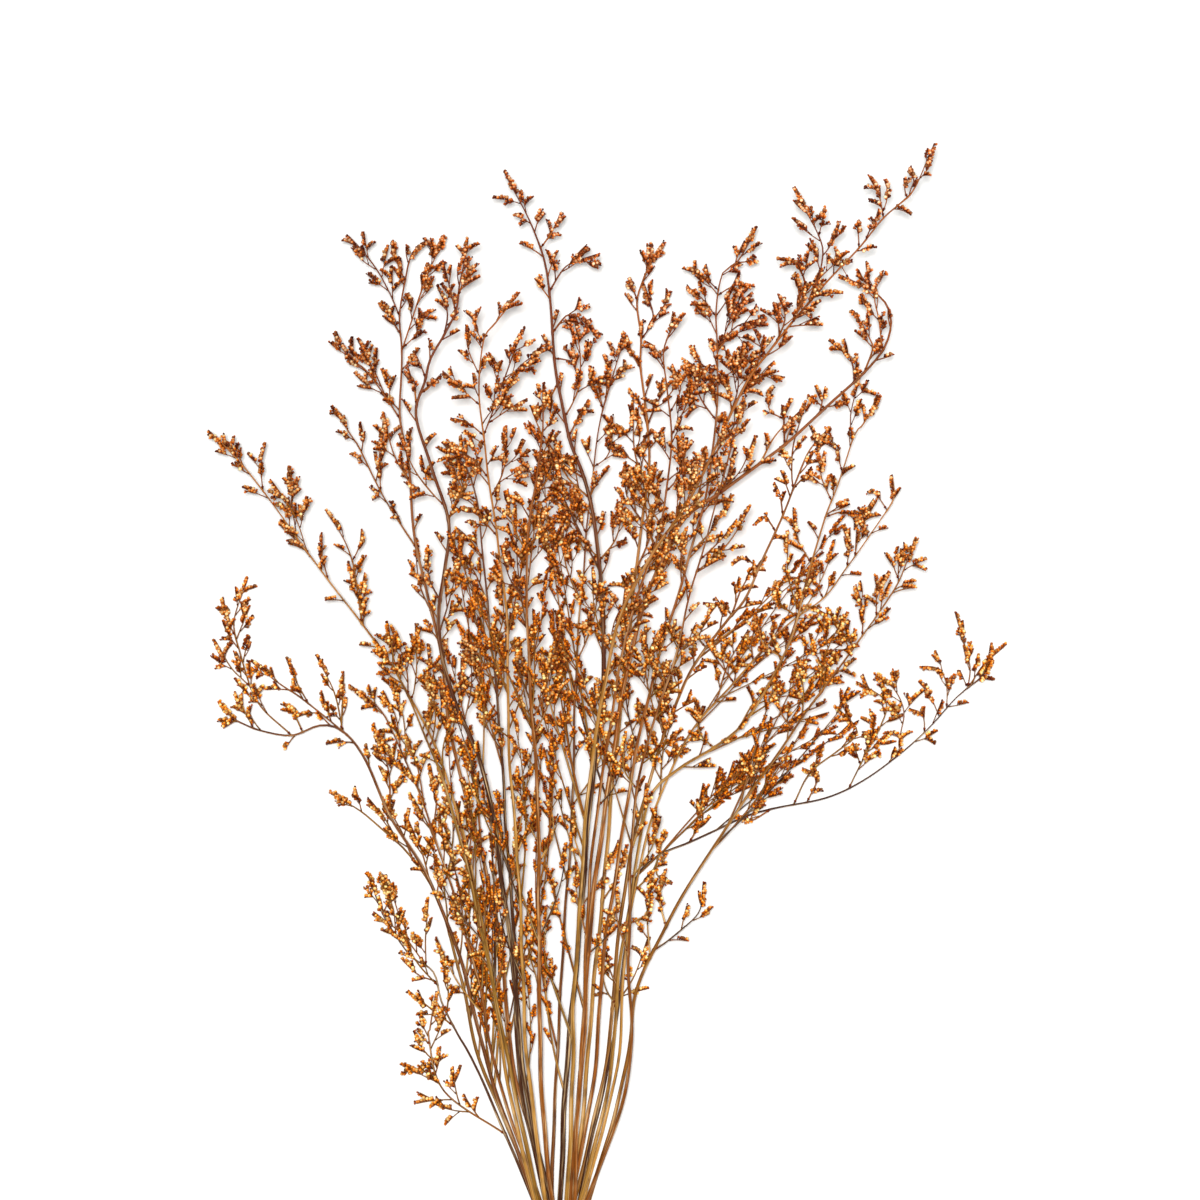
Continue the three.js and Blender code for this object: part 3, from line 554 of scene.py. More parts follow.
        [(114, 285), (118, 296), (122, 312)],
        [(63, 205), (60, 222), (64, 238)],
        [(56, 190), (72, 202), (84, 214), (86, 230)],
    ]),
    ("stem_far_right_low", 5, 0.95, [
        [
            (28, 114), (35, 160), (41, 200), (46, 232), (60, 247), (78, 255), (95, 263),
            (112, 271), (130, 276), (160, 282), (182, 292), (203, 307), (222, 324), (240, 343),
            (255, 355), (261, 365),
        ],
        [(233, 336), (234, 348), (230, 360), (219, 362)],
        [(246, 348), (248, 361), (244, 377), (239, 393)],
        [(246, 349), (243, 358)],
        [(204, 308), (206, 318), (197, 321)],
        [(174, 289), (183, 305), (192, 322), (197, 340), (181, 352)],
        [(221, 322), (220, 332), (213, 336)],
        [(205, 318), (208, 334), (202, 348), (191, 356)],
        [(140, 278), (151, 297), (166, 309), (180, 322), (168, 337)],
        [(182, 303), (178, 314)],
        [(150, 280), (156, 294), (148, 300)],
        [(128, 275), (116, 268), (120, 282)],
        [(60, 247), (58, 236), (66, 230)],
        [(78, 255), (86, 268), (84, 280)],
        [(228, 330), (224, 344), (218, 351)],
    ]),
    ("stem_lower_left_sprig", 9, 0.85, [
        [
            (-50, 114), (-62, 138), (-72, 158), (-77, 176), (-90, 185), (-101, 200), (-109, 213),
            (-118, 235),
        ],
        [(-34, 70), (-58, 92), (-77, 112), (-80, 132), (-78, 150), (-76, 163)],
        [(-79, 120), (-88, 116), (-96, 119)],
        [(-80, 130), (-87, 141)],
        [(-80, 181), (-82, 198), (-80, 220)],
        [(-92, 187), (-94, 200), (-98, 213)],
        [(-108, 211), (-102, 225)],
        [(-65, 144), (-78, 153), (-91, 164)],
        [(-76, 170), (-86, 174), (-96, 183)],
    ]),
    ("stem_left_middle", 136, 1, [
        [
            (-24, 114), (-28, 200), (-33, 280), (-38, 340), (-43, 400), (-48, 450), (-56, 480),
            (-70, 495),
        ],
        [(-43, 402), (-52, 420), (-62, 430)],
        [(-45, 422), (-53, 437), (-61, 445)],
        [(-50, 460), (-60, 468), (-63, 479)],
        [(-38, 345), (-48, 368), (-58, 382)],
        [(-35, 310), (-45, 330), (-48, 350)],
        [(-30, 240), (-38, 262), (-42, 284)],
        [(-40, 370), (-34, 392), (-36, 412)],
    ]),
    ("stem_middle", 164, 1, [
        [
            (-12, 114), (-12, 200), (-14, 290), (-18, 370), (-20, 430), (-13, 478), (-9, 505),
            (-10, 529),
        ],
        [(-19, 405), (-16, 436), (-13, 459)],
        [(-20, 430), (-28, 448), (-30, 466)],
        [(-10, 500), (-2, 488), (1, 476)],
        [(-16, 455), (-6, 462), (1, 458)],
        [(-16, 340), (-24, 360), (-24, 378)],
        [(-15, 320), (-6, 345), (-10, 372)],
        [(-13, 240), (-4, 262), (-6, 284)],
        [(-12, 170), (-20, 196), (-20, 216)],
    ]),
    ("stem_inner_right", 154, 0.95, [
        [
            (41, 114), (41, 190), (43, 260), (52, 315), (66, 360), (76, 400), (85, 430), (95, 465),
            (102, 495), (110, 522),
        ],
        [(66, 362), (76, 376), (88, 379)],
        [(84, 428), (96, 438), (104, 449)],
        [(64, 352), (58, 370), (62, 386)],
        [(95, 465), (108, 480), (115, 498)],
        [(42, 205), (52, 214), (54, 226)],
        [(42, 235), (56, 256), (58, 276)],
        [(46, 285), (38, 302), (40, 322)],
        [(78, 408), (72, 426), (76, 444)],
    ]),
]


def draws_from(seed):
    """The same numbers between 0 and 1 on every run, as the solids' growth draws them."""
    state = seed

    def draw():
        nonlocal state
        state = (state * 1664525 + 1013904223) % 4294967296
        return state / 4294967296

    return draw


def between(pair, draw):
    low, high = pair
    return low + (high - low) * draw()


def unit(vector):
    return vector / np.linalg.norm(vector, axis=-1, keepdims=True)


def point_at(points, station):
    """A point on the smooth line through the points; station 2.5 is halfway from point 2 to 3."""
    k = min(int(station), len(points) - 2)
    t = station - k
    a = points[k]
    b = points[k + 1]
    before = points[k - 1] if k > 0 else 2 * a - b
    after = points[k + 2] if k + 2 < len(points) else 2 * b - a
    v0 = (b - before) / 2
    v1 = (after - a) / 2
    return ((2 * a - 2 * b + v0 + v1) * t + (3 * b - 3 * a - 2 * v0 - v1)) * t * t + v0 * t + a


class Strand:
    """A stem or a fork. first is the point where its florets start, root where it leaves its parent."""

    def __init__(self, controls, stations, florets, stem, thickness, even=0):
        points = np.array([point_at(controls, station) for station in stations])
        last = len(points) - 1
        self.stem = stem
        self.first = last - florets
        steps = np.linalg.norm(np.diff(points, axis=0), axis=1)
        steps[:even] = 0
        run = np.concatenate([[0.0], np.cumsum(steps)])
        self.radii = thickness + (TIP_RADIUS - thickness) * run / run[self.first]
        self.radii[self.first:] = FLORET_CORE
        self.radii[last] = 0
        self.room = self.radii.copy()
        self.room[self.first:] = REACH_MOST
        points[:, 2] = np.maximum(points[:, 2], self.room)
        self.points = points
        self.parent = None
        self.root = 0.0
        self.fine = None


class Placed:
    """What has been placed so far, piece by piece, which new growth keeps clear of."""

    def __init__(self):
        self.start = np.zeros((0, 3))
        self.end = np.zeros((0, 3))
        self.room = np.zeros(0)
        self.stem = np.zeros(0, int)

    def add(self, strand):
        rooms = np.maximum(strand.room[:-1], strand.room[1:])
        self.start = np.concatenate([self.start, strand.points[:-1]])
        self.end = np.concatenate([self.end, strand.points[1:]])
        self.room = np.concatenate([self.room, rooms])
        self.stem = np.concatenate([self.stem, np.full(len(rooms), strand.stem)])

    def is_clear(self, strand):
        """Whether a strand keeps its room from all that is placed, and from its own stem's less."""
        for i in range(len(strand.points) - 1):
            own = max(strand.room[i], strand.room[i + 1])
            share = np.where(self.stem == strand.stem, OWN_CLEAR, 1.0)
            least = (own + self.room) * share + CLEAR
            gaps = segment_gaps(strand.points[i], strand.points[i + 1], self.start, self.end)
            near = gaps < least
            if i == 0:
                near &= self.stem != strand.stem
            if near.any():
                return False
        return True


def segment_gaps(p, q, r, s):
    """Shortest distances between the segment p to q and each of the segments r to s."""
    if not len(r):
        return np.zeros(0)
    d1 = q - p
    d2 = s - r
    w = p - r
    a = d1 @ d1
    e = np.einsum("ij,ij->i", d2, d2)
    f = np.einsum("ij,ij->i", d2, w)
    b = d2 @ d1
    c = w @ d1
    spread = a * e - b * b
    apart = spread > 1e-9
    t1 = np.where(apart, np.clip((b * f - c * e) / np.where(apart, spread, 1), 0, 1), 0)
    t2 = (b * t1 + f) / e
    t1 = np.where(t2 < 0, np.clip(-c / a, 0, 1), t1)
    t1 = np.where(t2 > 1, np.clip((b - c) / a, 0, 1), t1)
    t2 = np.clip(t2, 0, 1)
    return np.linalg.norm(w + t1[:, None] * d1 - t2[:, None] * d2, axis=1)


def tie_slots():
    """Stems in the order of their height fill the tie's rows from the bottom, each from left to right."""
    order = sorted(range(len(STEMS)), key=lambda index: STEMS[index][1])
    slots = [None] * len(STEMS)
    taken = 0
    for row, count in enumerate(TIE_ROWS):
        members = sorted(order[taken:taken + count], key=lambda index: STEMS[index][3][0][0][0])
        taken += count
        for column, index in enumerate(members):
            x = (column - (count - 1) / 2) * STEM_PITCH
            z = TIE_THICKNESS + CLEAR + STEM_RADIUS + row * STEM_PITCH * math.sin(math.pi / 3)
            slots[index] = np.array([x, 0.0, z])
    return slots


def climb(slot_height, head_height, travelled):
    """Above the tie a stem climbs from its slot to the height of its head."""
    share = min(travelled / RISE_LENGTH, 1)
    return max(slot_height + (head_height - slot_height) * math.sin(share * math.pi / 2), FLOOR)


def stem_strand(index, slot, rise):
    """A stem at its slot in the tie, its head raised by so much over the plan's height."""
    _, height, girth, lines = STEMS[index]
    controls = [
        np.array([slot[0] * CUT_SPREAD, CUT_END + (index % CUT_LEVELS) * CUT_STEP, slot[2]]),
        np.array([slot[0], -TIE_STRAIGHT, slot[2]]),
        np.array([slot[0], TIE_STRAIGHT, slot[2]]),
    ]
    travelled = 0
    for x, y in lines[0]:
        travelled += math.hypot(x - controls[-1][0], y - controls[-1][1])
        controls.append(np.array([x, y, climb(slot[2], height + rise, travelled)]))
    end = len(controls) - 1
    bare = end - STEM_FLOWERING
    stations = list(range(math.ceil(bare)))
    stations += [bare + (end - bare) * k / STEM_FLORETS for k in range(STEM_FLORETS + 1)]
    return Strand(controls, stations, STEM_FLORETS, index, STEM_RADIUS * girth, even=2)


def nearest_root(strands, x, y):
    """The place on the strands so far that lies nearest to x, y, seen from above."""
    least = math.inf
    best = None
    for strand in strands:
        for i in range(len(strand.points) - 1):
            here = strand.points[i]
            there = strand.points[i + 1]
            for eighth in range(8):
                t = eighth / 8
                gap = math.hypot(
                    here[0] + (there[0] - here[0]) * t - x,
                    here[1] + (there[1] - here[1]) * t - y,
                )
                if gap < least - 1e-6:
                    least = gap
                    best = (strand, i, t)
    return best


def fork_strand(stem, root, line, slope):
    """A fork along a plan line, which rises by slope for each millimetre."""
    parent, i, t = root
    at = parent.points[i] + (parent.points[i + 1] - parent.points[i]) * t
    root_radius = parent.radii[i] + (parent.radii[i + 1] - parent.radii[i]) * t
    controls = [at]
    travelled = 0
    for x, y in line[1:]:
        travelled += math.hypot(x - controls[-1][0], y - controls[-1][1])
        controls.append(np.array([x, y, max(at[2] + slope * travelled, FLOOR)]))
    end = len(controls) - 1
    fewest, most = FORK_FLORETS
    wanted = math.floor((travelled - FORK_BARE) / FLORET_STEP + 0.5)
    florets = max(fewest, min(most, wanted))
    bare = end * (1 - min(florets * FLORET_STEP / travelled, FLOWERING_MOST))
    stations = [0, bare / 2] if travelled > FORK_LONG else [0]
    stations += [bare + (end - bare) * k / florets for k in range(florets + 1)]
    radius = min(root_radius * FORK_SHARE, FORK_RADIUS + travelled * FORK_RADIUS_GAIN)
    strand = Strand(controls, stations, florets, stem, max(radius, TIP_RADIUS))
    strand.radii[0] = root_radius * ROOT_SHARE
    strand.parent = parent
    strand.root = i + t
    return strand


def grow_fork(placed, strands, stem, line, draw):
    """Places a fork at the first slope that keeps it clear; one with no room is left out."""
    root = nearest_root(strands, line[0][0], line[0][1])
    side = -1 if draw() < 0.5 else 1
    draw()
    for slope in FORK_TRIES:
        strand = fork_strand(stem, root, line, slope * side)
        if placed.is_clear(strand):
            placed.add(strand)
            strands.append(strand)
            return


def shoot_line(strand, share, turn, draw):
    """A side shoot leaves the stem at a small angle and bends back along it."""
    top = min(SHOOT_TO, strand.points[strand.first][1])
    target = SHOOT_FROM + (top - SHOOT_FROM) * share
    i = int(np.argmax(strand.points[:, 1] > target))
    before = strand.points[i - 1]
    ahead = strand.points[i] - before
    at = before + ahead * ((target - before[1]) / ahead[1])
    lean = ahead[0] / np.linalg.norm(ahead)
    side = math.copysign(1, lean) if abs(lean) > LEANING else turn
    half = between(SHOOT_LENGTH, draw) / 2
    angle = math.atan2(ahead[1], ahead[0]) + side * between(SHOOT_ANGLE, draw)
    bent = angle - side * SHOOT_BEND
    mid = (at[0] + math.cos(angle) * half, at[1] + math.sin(angle) * half)
    return [(at[0], at[1]), mid, (mid[0] + math.cos(bent) * half, mid[1] + math.sin(bent) * half)]


def grow_all():
    """All strands, stem by stem: the stems first, then the plan's forks, then the side shoots."""
    placed = Placed()
    slots = tie_slots()
    grown = []
    for index, (name, *_) in enumerate(STEMS):
        tries = (stem_strand(index, slots[index], rise) for rise in STEM_TRIES)
        strand = next((strand for strand in tries if placed.is_clear(strand)), None)
        if strand is None:
            raise RuntimeError(f"{name} finds no way past the other stems")
        placed.add(strand)
        grown.append([strand])
    draws = [draws_from(SEED * (index + 1)) for index in range(len(STEMS))]
    for index, (*_, lines) in enumerate(STEMS):
        for line in lines[1:]:
            grow_fork(placed, grown[index], index, line, draws[index])
    for index, (*_, lines) in enumerate(STEMS):
        draw = draws[index]
        shoots = min(max(LINES_AND_SHOOTS - len(lines), SHOOTS[0]), SHOOTS[1])
        for k in range(shoots):
            turn = 1 if (k + index) % 2 else -1
            line = shoot_line(grown[index][0], (k + draw()) / shoots, turn, draw)
            grow_fork(placed, grown[index], index, line, draw)
    return grown


def run_of(line):
    """Distance from a line's start to each of its points."""
    steps = np.linalg.norm(np.diff(line, axis=0), axis=1)
    return np.concatenate([[0.0], np.cumsum(steps)])


def along_line(line, run, places):
    """Points of a line at the given distances from its start."""
    return np.column_stack([np.interp(places, run, line[:, axis]) for axis in range(3)])


def headings(line):
    """The way a line heads at each of its points."""
    return unit(np.gradient(line, axis=0))


def turned(vector, axis, angle):
    """A vector turned round a unit axis."""
    beside = np.cross(axis, vector)
    along = axis * (axis @ vector)
    return along + (vector - along) * math.cos(angle) + beside * math.sin(angle)


class Pile:
    """The parts of one mesh as arrays, in millimetres.

    order names the finishes in the order of the mesh's materials. grain is the corner's place in the
    part itself, round its axis and along it, so that fibres follow the part. tone is one random number
    for each part."""

    def __init__(self, order):
        self.order = order
        self.corners = []
        self.loops = []
        self.sizes = []
        self.finishes = []
        self.grain = []
        self.tone = []
        self.count = 0

    def add(self, corners, loops, sizes, finish, grain, tone):
        self.corners.append(corners)
        self.loops.append(np.asarray(loops) + self.count)
        self.sizes.append(np.asarray(sizes))
        self.finishes.append(np.full(len(sizes), self.order.index(finish)))
        self.grain.append(grain)
        self.tone.append(np.broadcast_to(tone, len(corners)))
        self.count += len(corners)

    def add_tube(self, line, radii, sides, finish, tone, cut=False):
        """A closed tube along a line that ends in a point; with cut, its root is a cut end."""
        ahead = headings(line)
        reference = np.eye(3)[np.argmin(np.abs(line[-1] - line[0]))]
        up = unit(reference - ahead * (ahead @ reference)[:, None])
        across = np.cross(ahead, up)
        turn = 2 * math.pi * np.arange(sides) / sides
        spokes = np.cos(turn)[None, :, None] * up[:, None, :]
        spokes = spokes + np.sin(turn)[None, :, None] * across[:, None, :]
        rings = len(line)
        corners = line[:, None, :] + radii[:, None, None] * spokes
        run = run_of(line)
        grain = np.zeros((rings, sides, 3))
        grain[:, :, 0] = radii[:, None] * np.cos(turn)
        grain[:, :, 1] = radii[:, None] * np.sin(turn)
        grain[:, :, 2] = run[:, None]
        ring, side = np.meshgrid(np.arange(rings - 1), np.arange(sides), indexing="ij")
        here = ring * sides + side
        beside = ring * sides + (side + 1) % sides
        walls = np.stack([here, beside, beside + sides, here + sides], axis=-1).reshape(-1)
        last = (rings - 1) * sides
        pole = rings * sides
        point = line[-1] + ahead[-1] * radii[-1]
        k = np.arange(sides)
        fan = np.stack([last + k, last + (k + 1) % sides, np.full(sides, pole)], axis=-1).reshape(-1)
        loops = [walls, fan]
        sizes = [np.full((rings - 1) * sides, 4), np.full(sides, 3)]
        if not cut:
            loops.append(np.arange(sides)[::-1])
            sizes.append(np.array([sides]))
        all_corners = np.concatenate([corners.reshape(-1, 3), [point]])
        all_grain = np.concatenate([grain.reshape(-1, 3), [[0, 0, run[-1]]]])
        start = self.count
        self.add(all_corners, np.concatenate(loops), np.concatenate(sizes), finish, all_grain, tone)
        if cut:
            self.close_cut(start, line[0], ahead[0], radii[0], sides, tone)

    def close_cut(self, start, centre, ahead, radius, sides, tone):
        """The cut end of a stem: its pith, a little hollow inside the rim."""
        rim = np.arange(sides)
        hollow = centre + ahead * radius * CUT_HOLLOW
        fan = np.stack([start + (rim + 1) % sides, start + rim, np.full(sides, self.count)], axis=-1)
        self.corners.append(hollow[None, :])
        self.loops.append(fan.reshape(-1))
        self.sizes.append(np.full(sides, 3))
        self.finishes.append(np.full(sides, self.order.index("pith")))
        self.grain.append(np.zeros((1, 3)))
        self.tone.append(np.array([tone]))
        self.count += 1

    def add_copies(self, pattern, places, axes, widths, lengths, finish, tones, grain_share=1.0):
        """Copies of a small pattern, each at a place, along its own axes, wide and long by its shares."""
        corners, loops, sizes = pattern
        shares = np.stack([widths, widths, lengths], axis=-1)
        own = corners[None, :, :] * shares[:, None, :]
        placed = places[:, None, :] + np.einsum("nvk,nkj->nvj", own, axes)
        number = len(places)
        shift = np.arange(number)[:, None] * len(corners)
        self.add(
            placed.reshape(-1, 3),
            (loops[None, :] + shift).reshape(-1),
            np.tile(sizes, number),
            finish,
            own.reshape(-1, 3) * grain_share,
            np.repeat(tones, len(corners)),
        )

    def make(self, name, materials):
        """The finished object, in metres, with nothing below the surface it lies on."""
        corners = np.concatenate(self.corners) * MM
        corners[:, 2] = np.maximum(corners[:, 2], 0)
        loops = np.concatenate(self.loops)
        sizes = np.concatenate(self.sizes)
        mesh = bpy.data.meshes.new(name)
        mesh.vertices.add(len(corners))
        mesh.vertices.foreach_set("co", corners.ravel())
        mesh.loops.add(len(loops))
        mesh.loops.foreach_set("vertex_index", loops)
        mesh.polygons.add(len(sizes))
        mesh.polygons.foreach_set("loop_start", np.cumsum(sizes) - sizes)
        mesh.polygons.foreach_set("material_index", np.concatenate(self.finishes))
        mesh.update(calc_edges=True)
        grain = mesh.attributes.new("grain", "FLOAT_VECTOR", "POINT")
        grain.data.foreach_set("vector", (np.concatenate(self.grain) * MM).ravel())
        tone = mesh.attributes.new("tone", "FLOAT", "POINT")
        tone.data.foreach_set("value", np.concatenate(self.tone))
        mesh.set_sharp_from_angle(angle=SHARP_ANGLE)
        for material in materials:
            mesh.materials.append(material)
        piece = bpy.data.objects.new(name, mesh)
        bpy.context.scene.collection.objects.link(piece)
        return piece


def model_floret(sizes):
    """One floret, modelled once: a short papery cup, pointed at its foot, with its dried petals
    rising from the rim in a low dome."""
    length = sizes.floret_length
    wide = sizes.floret_width / 2
    bpy.ops.object.select_all(action="DESELECT")
    bpy.ops.mesh.primitive_cone_add(
        vertices=FLORET_SIDES, radius1=0, radius2=wide, depth=length, end_fill_type="TRIFAN",
        location=(0, 0, length / 2),
    )
    floret = bpy.context.object
    bpy.ops.object.transform_apply(location=True, rotation=False, scale=False)
    for vertex in floret.data.vertices:
        on_rim = math.hypot(vertex.co.x, vertex.co.y) > wide / 2
        if on_rim:
            vertex.co.z = length * RIM_HEIGHT
    corners = np.array([vertex.co for vertex in floret.data.vertices]) / MM
    loops = np.concatenate([np.array(face.vertices) for face in floret.data.polygons])
    face_sizes = np.array([len(face.vertices) for face in floret.data.polygons])
    mesh = floret.data
    bpy.data.objects.remove(floret)
    bpy.data.meshes.remove(mesh)
    return corners, loops, face_sizes


def axes_along(along, spin):
    """Axes for copies whose length lies along the given ways, each turned by its own spin."""
    reference = np.where(np.abs(along[:, 2:3]) < 0.8, [[0.0, 0.0, 1.0]], [[1.0, 0.0, 0.0]])
    beside = unit(np.cross(reference, along))
    across = np.cross(along, beside)
    first = beside * np.cos(spin)[:, None] + across * np.sin(spin)[:, None]
    second = np.cross(along, first)
    return np.stack([first, second, along], axis=1)


def add_florets(pile, pattern, line, start, inner, plump, rng, sizes):
    """Two rows of florets along the inner side of a spike, a little smaller to its tip."""
    run = run_of(line)
    step = sizes.floret_pitch / MM / 2 * plump
    places = np.append(np.arange(start, run[-1] - step / 2, step), run[-1])
    number = len(places)
    share = np.arange(number) / max(number - 1, 1)
    at = along_line(line, run, places)
    ahead = unit(along_line(headings(line), run, places))
    up = unit(inner - ahead * (ahead @ inner)[:, None])
    across = np.cross(ahead, up)
    row = np.where(np.arange(number) % 2, 1.0, -1.0)
    fan = row * sizes.row_spread + rng.normal(0, ROW_SCATTER, number)
    lean = sizes.floret_lean * (ROOT_LEAN_SHARE - LESS_LEAN_TO_TIP * share)
    lean = lean + rng.normal(0, LEAN_SCATTER, number)
    lean[-1] = TIP_LEAN
    outward = up * np.cos(fan)[:, None] + across * np.sin(fan)[:, None]
    along = ahead * np.cos(lean)[:, None] + outward * np.sin(lean)[:, None]
    grown = plump * (1 - SMALLER_TO_TIP * share ** 3) * rng.uniform(*FLORET_SCATTER, number)
    grown[-1] *= TIP_FLORET
    widths = grown * rng.uniform(*WIDTH_SCATTER, number)
    axes = axes_along(along, rng.uniform(0, 2 * math.pi, number))
    pile.add_copies(pattern, at, axes, widths, grown, "floret", rng.random(number))


def curled_line(root, heading, axis, curl, length, points):
    """A short line that leaves in one way and curls evenly round an axis."""
    turns = curl * (np.arange(points - 1) + 0.5) / (points - 1)
    steps = np.array([turned(heading, axis, turn) for turn in turns])
    steps *= length / (points - 1)
    return np.concatenate([[root], root + np.cumsum(steps, axis=0)])


def lifted(line, least):
    """A line kept at least so high above the surface."""
    line[:, 2] = np.maximum(line[:, 2], least)
    return line


def add_bract(pile, pattern, line, size):
    """The small dark scale at the foot of a branch: the foot of a floret, and no more of it."""
    axes = axes_along(unit(line[1:2] - line[0:1]), np.zeros(1))
    share = np.array([size])
    tone = np.full(1, BRACT_TONE)
    pile.add_copies(pattern, line[0:1], axes, share, share, "floret", tone, grain_share=BRACT_GRAIN)


class Habit:
    """How side growth branches, from a row such as HEAD_HABIT and the spacing of the spikes in mm."""

    def __init__(self, habit, spike_pitch, longest=None):
        spacing_share, usual_longest, self.angles, self.curls, self.plump = habit
        self.habit = habit
        self.spike_pitch = spike_pitch
        self.pitch = spike_pitch * spacing_share
        self.longest = usual_longest if longest is None else longest

    def with_longest(self, longest):
        """The same habit with another longest branch."""
        return Habit(self.habit, self.spike_pitch, longest)


def add_branch(pile, pattern, root, heading, ahead, axis, length, thickness, habit, rng, sizes):
    """A side branch: a short one is a spike of florets, a long one carries spikes of its own."""
    compound = length > sizes.compound_from / MM
    curl = rng.uniform(*habit.curls) * (FORKED_CURL if compound else 1)
    points = FORKED_POINTS if compound else SPIKE_POINTS
    line = lifted(curled_line(root, heading, axis, curl, length, points), TWIG_LEAST_HEIGHT)
    radii = np.linspace(thickness, sizes.axis_tip / MM, len(line))
    sides = TWIG_SIDES if compound else SPIKE_SIDES
    pile.add_tube(line, radii, sides, "axis", rng.random())
    if compound:
        add_bract(pile, pattern, line, SPIKE_BRACT)
        own = habit.with_longest(length * FORKED_LONGEST)
        add_side_growth(pile, pattern, line, radii, length * FORKED_BARE, own, rng, sizes)
    start = length * (FORKED_FLORETS_FROM if compound else SPIKE_FLORETS_FROM)
    add_florets(pile, pattern, line, start, ahead, habit.plump, rng, sizes)


def fullness(place):
    """How full growth is at a place, seen from above: 1 is as usual."""
    share = 1.0
    for x, y, reach, factor in FULLNESS:
        gap = math.hypot(place[0] - x, place[1] - y) / reach
        share *= 1 + (factor - 1) * math.exp(-gap ** FULLNESS_EDGE)
    return share


def add_side_growth(pile, pattern, line, radii, start, habit, rng, sizes, end=None):
    """Branches along a line, by turns on its two sides, shorter towards its tip."""
    run = run_of(line)
    length = run[-1]
    end = length - sizes.tip_spike / MM * TIP_SPIKE_FREE if end is None else end
    every_heading = headings(line)
    side = rng.choice([-1.0, 1.0])
    place = start + habit.pitch * rng.uniform(*FIRST_BRANCH)
    while place < end:
        at = along_line(line, run, [place])[0]
        ahead = unit(along_line(every_heading, run, [place])[0])
        level = unit(np.array([0.0, 0.0, 1.0]) - ahead * ahead[2])
        up = turned(level, ahead, rng.normal(0, sizes.roll)) * side
        full = fullness(at)
        reach = min(habit.longest, BRANCH_LEAST + (length - place) * BRANCH_GAIN)
        reach *= rng.uniform(*BRANCH_SCATTER)
        reach *= full ** FULLER_REACH
        heading = turned(ahead, up, rng.uniform(*habit.angles))
        thickness = min(np.interp(place, run, radii) * BRANCH_SHARE, sizes.axis_root / MM)
        add_branch(pile, pattern, at, heading, ahead, up, reach, thickness, habit, rng, sizes)
        side = -side
        wide = FORKED_SPACING if reach > sizes.compound_from / MM else 1
        place += habit.pitch * wide * rng.uniform(*SPACING_SCATTER) / full ** FULLER_SPACING


def add_tip_florets(pile, pattern, line, plump, rng, sizes):
    """The spike at the very tip of a stem or fork."""
    length = run_of(line)[-1]
    tip = min(sizes.tip_spike / MM, length * TIP_SPIKE_MOST)
    ahead = headings(line)[-1]
    inner = np.cross(ahead, [0.0, 0.0, rng.choice([-1.0, 1.0])]) + [0, 0, TIP_SPIKE_RISE]
    add_florets(pile, pattern, line, length - tip, inner, plump, rng, sizes)


def place_on(strand, station):
    """A place on a strand's smooth line; above the tie a stem wavers a little, as real ones do."""
    place = point_at(strand.fine, station)
    if strand.parent is None:
        y = place[1]
        phase = strand.stem * WAVE_SHIFT
        sway = math.sin(y / LONG_WAVE + phase) + SHORT_WAVE_SHARE * math.sin(y / SHORT_WAVE + phase * 2)
        place[0] += WAVER * min(max(y - WAVER_FROM, 0) / WAVER_FULL_AFTER, 1) * sway
    return place


def fine_line(strand, spacing, nodes):
    """A strand's smooth line, rooted on its parent's, and the station of each of its points.

    nodes are the stations where forks leave; each gets points of its own for the swelling there."""
    strand.fine = strand.points.copy()
    if strand.parent is not None:
        strand.fine[0] = place_on(strand.parent, strand.root)
    spans = np.linalg.norm(np.diff(strand.fine, axis=0), axis=1)
    stations = [len(strand.fine) - 1.0]
    for k, span in enumerate(spans):
        parts = max(1, math.ceil(span / spacing))
        stations.extend(k + part / parts for part in range(parts))
    for node in nodes:
        reach = SWELLING_REACH / spans[min(int(node), len(spans) - 1)]
        room = reach * SWELLING_ROOM
        stations = [station for station in stations if abs(station - node) > room or station == 0]
        stations.extend(node + shift for shift in (-reach, 0, reach) if node + shift > 0.02)
    stations = np.array(sorted(set(stations)))
    stations = stations[stations <= len(strand.fine) - 1]
    line = np.array([place_on(strand, station) for station in stations])
    return line, stations


def fine_radii(strand, stations, nodes, slimmest, sizes):
    """How thick a strand is: as in the solids at the tie, then by its own share, and thin at its tip."""
    radii = strand.radii.copy()
    if strand.parent is None:
        share = np.clip(run_of(strand.points) / run_of(strand.points)[strand.first], 0, 1)
        radii = radii[0] + (SLIM_TIP - radii[0]) * share ** TAPER
        travelled = np.maximum(strand.points[:, 1], 0)
        radii *= slimmest + (1 - slimmest) * np.exp(-travelled / SLIMMING)
    flowering = np.arange(len(radii)) >= strand.first
    radii[flowering] = np.linspace(SLIM_TIP, sizes.axis_tip / MM, flowering.sum())
    if strand.parent is not None:
        own = np.interp(strand.root, np.arange(len(strand.parent.slim)), strand.parent.slim)
        radii[0] = min(radii[1] * ROOT_SWELLING, own * ROOT_LIMIT)
        radii[1:] = np.minimum(radii[1:], radii[0])
    strand.slim = radii
    fine = np.interp(stations, np.arange(len(radii)), radii)
    for node in nodes:
        fine[np.abs(stations - node) < 1e-6] *= SWELLING
    return fine


def linear(hex_colour):
    """An sRGB hex colour as linear red, green and blue."""
    channels = [int(hex_colour[k:k + 2], 16) / 255 for k in (1, 3, 5)]
    return tuple(c / 12.92 if c <= 0.04045 else ((c + 0.055) / 1.055) ** 2.4 for c in channels)


